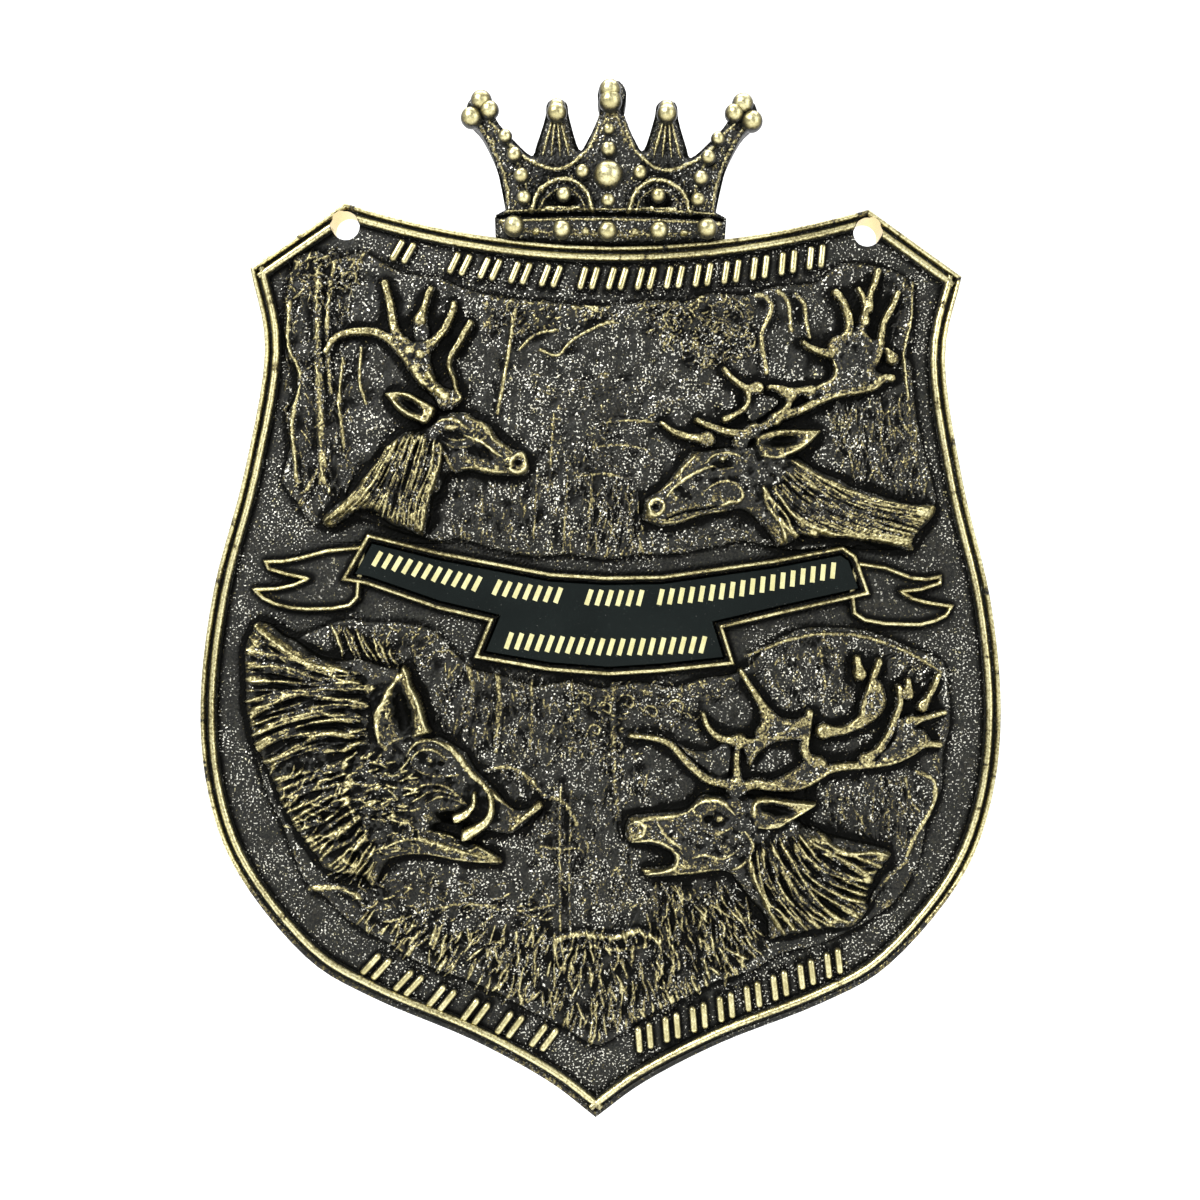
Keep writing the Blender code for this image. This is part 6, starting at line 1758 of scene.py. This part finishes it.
def studio_sweep():
    """A pale sweep of paper behind and below."""
    pale = Finish("studio_paper")
    tone = pale.noise(60.0, 2.0)
    pale.set(Base_Color=pale.mix(tone, (0.9, 0.9, 0.9, 1), (0.93, 0.93, 0.93, 1)), Roughness=0.9)
    turns = np.linspace(0, math.pi / 2, 17)
    curve = [(WALL - BEND + BEND * math.sin(t), FLOOR + BEND - BEND * math.cos(t)) for t in turns]
    profile = [(SWEEP_NEAR, FLOOR)] + curve + [(WALL, SWEEP_HIGH)]
    points = [(x, y, z) for x in (-SWEEP_HALF, SWEEP_HALF) for y, z in profile]
    count = len(profile)
    faces = [(k, k + count, k + count + 1, k + 1) for k in range(count - 1)]
    mesh = bpy.data.meshes.new("studio_sweep")
    mesh.from_pydata(points, [], faces)
    mesh.shade_smooth()
    sweep = linked(mesh, pale.material)


def studio_lights():
    """Even light from all round, and soft boxes that face the plaque's middle."""
    world = bpy.data.worlds.new("studio_light")
    bpy.context.scene.world = world
    world.use_nodes = True
    world.node_tree.nodes["Background"].inputs[0].default_value = (1, 1, 1, 1)
    world.node_tree.nodes["Background"].inputs[1].default_value = WORLD_LIGHT
    for name, place, size, power in LAMPS:
        light = bpy.data.lights.new(name, "AREA")
        light.shape, light.size, light.size_y, light.energy = "RECTANGLE", size[0], size[1], power
        lamp = bpy.data.objects.new(name, light)
        bpy.context.scene.collection.objects.link(lamp)
        lamp.location = place
        aim = Vector((0, 0, VIEW_AIM[1] * MM)) - Vector(place)
        lamp.rotation_mode = "QUATERNION"
        lamp.rotation_quaternion = aim.to_track_quat("-Z", "Y")


def studio_camera():
    """The camera at the photograph's angle and distance."""
    lens = bpy.data.cameras.new("photo_camera")
    lens.sensor_width = SENSOR
    lens.lens = SENSOR * VIEW_DISTANCE / VIEW_WIDTH
    lens.clip_start, lens.clip_end = CLIP
    camera = bpy.data.objects.new("photo_camera", lens)
    bpy.context.scene.collection.objects.link(camera)
    camera.location = Vector((VIEW_AIM[0], -VIEW_PLANE - VIEW_DISTANCE, VIEW_AIM[1])) * MM
    camera.rotation_mode = "XYZ"
    camera.rotation_euler = (math.pi / 2, -math.radians(VIEW_ROLL), 0)
    bpy.context.scene.camera = camera
    view = bpy.context.scene.view_settings
    view.view_transform, view.look = "Standard", "None"


def dressed(piece, node, slot):
    """Ties a finished piece to the plaque's one body and hides its CAD node; the slot is not used.
    """
    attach(piece, "root")
    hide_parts(node)


def face_pieces(shield, holes, brass, bare):
    """The carved face, parted where one scene or border gives way to the next."""
    face = carved_face()
    values = finish_values(face, CELL)
    x = face.x[:-1, :-1] + CELL / 2
    z = face.z[:-1, :-1] + CELL / 2
    mids = Relief(x, z, 0.0)
    within = mids.inside_distance(shield, EVERYWHERE) > FACE_INSET
    for side in (-1, 1):
        within &= np.hypot(x - side * HOLE_SPACING / 2, z) > HOLE_RADIUS
    left = x < MIDDLE
    upper, lower = (z <= TOP_BORDER) & (z > RIBBON_TOP), (z <= RIBBON_FOOT) & (z > BASE_BORDER)
    for name, place in (("top_border", z > TOP_BORDER),
                        ("stag_scene", left & upper), ("buck_scene", ~left & upper),
                        ("ribbon_band", (z <= RIBBON_TOP) & (z > RIBBON_FOOT)),
                        ("boar_scene", left & lower), ("roaring_stag_scene", ~left & lower),
                        ("base_border", z <= BASE_BORDER)):
        drilled = [np.array((side * HOLE_SPACING / 2, 0.0)) for side in (-1, 1)] \
            if name == "top_border" else None
        rings = [(hole, SNAP_REACH) for hole in holes] if drilled else ()
        mesh = relief_piece(name, face, values, within & place, FACE_FOOT, rings, drilled)
        yield linked(mesh, brass, bare)


def crown_pieces(brass, back, tops):
    """The crown, with its flat back in the second material, and its pearls."""
    front, outline, within = crown_relief()
    keep = within[:-1, :-1] & within[1:, 1:] & within[:-1, 1:] & within[1:, :-1]
    mesh = relief_piece("crown", front, finish_values(front, CROWN_CELL), keep, 0.0,
                        [(outline, SNAP_REACH)])
    mesh.polygons[-1].material_index = 1
    yield linked(mesh, brass, back)
    places = []
    for out, height, size in CROWN_PEARLS:
        for side in (-1, 1) if out > 0 else (1,):
            at = CENTRE + side * out
            stand = height_at(front, at, height, size)
            places.append((at, height, min(stand, PEARL_TOP - PEARL_RISE * size), size))
    yield pearls("crown_pearls", places, tops)


def main():
    """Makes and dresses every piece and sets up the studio."""
    brass, tops, bare = antique_brass(), polished_brass(), bare_brass()
    back, gloss, gold = cast_back(), black_gloss(), printed_gold()
    shield = shield_outline(5)
    holes = [circle((side * HOLE_SPACING / 2, 0), HOLE_RADIUS, HOLE_SIDES) for side in (-1, 1)]
    castings = [linked(slab_mesh("casting_body", shield, holes, 0.0, BODY_FRONT), back, bare)]
    castings.append(linked(rim_mesh(), brass, bare))
    drill(castings[-1])
    castings += face_pieces(shield, holes, brass, bare)
    for name, outline, seed, behind in (("ribbon_edge", RIBBON, 7, None),
                                        ("left_tail_edge", LEFT_TAIL, 8, RIBBON),
                                        ("right_tail_edge", RIGHT_TAIL, 9, RIBBON)):
        castings.append(linked(bead_mesh(name, outline, seed, behind), brass))
    castings += crown_pieces(brass, back, tops)
    castings.append(raised_strokes("inscription_strokes", tops))
    for piece in castings:
        dressed(piece, CASTING, "antique_brass")
    dressed(linked(plate_mesh(), gloss, gold), PLATE, "black_plate")
    studio_sweep()
    studio_lights()
    studio_camera()


main()
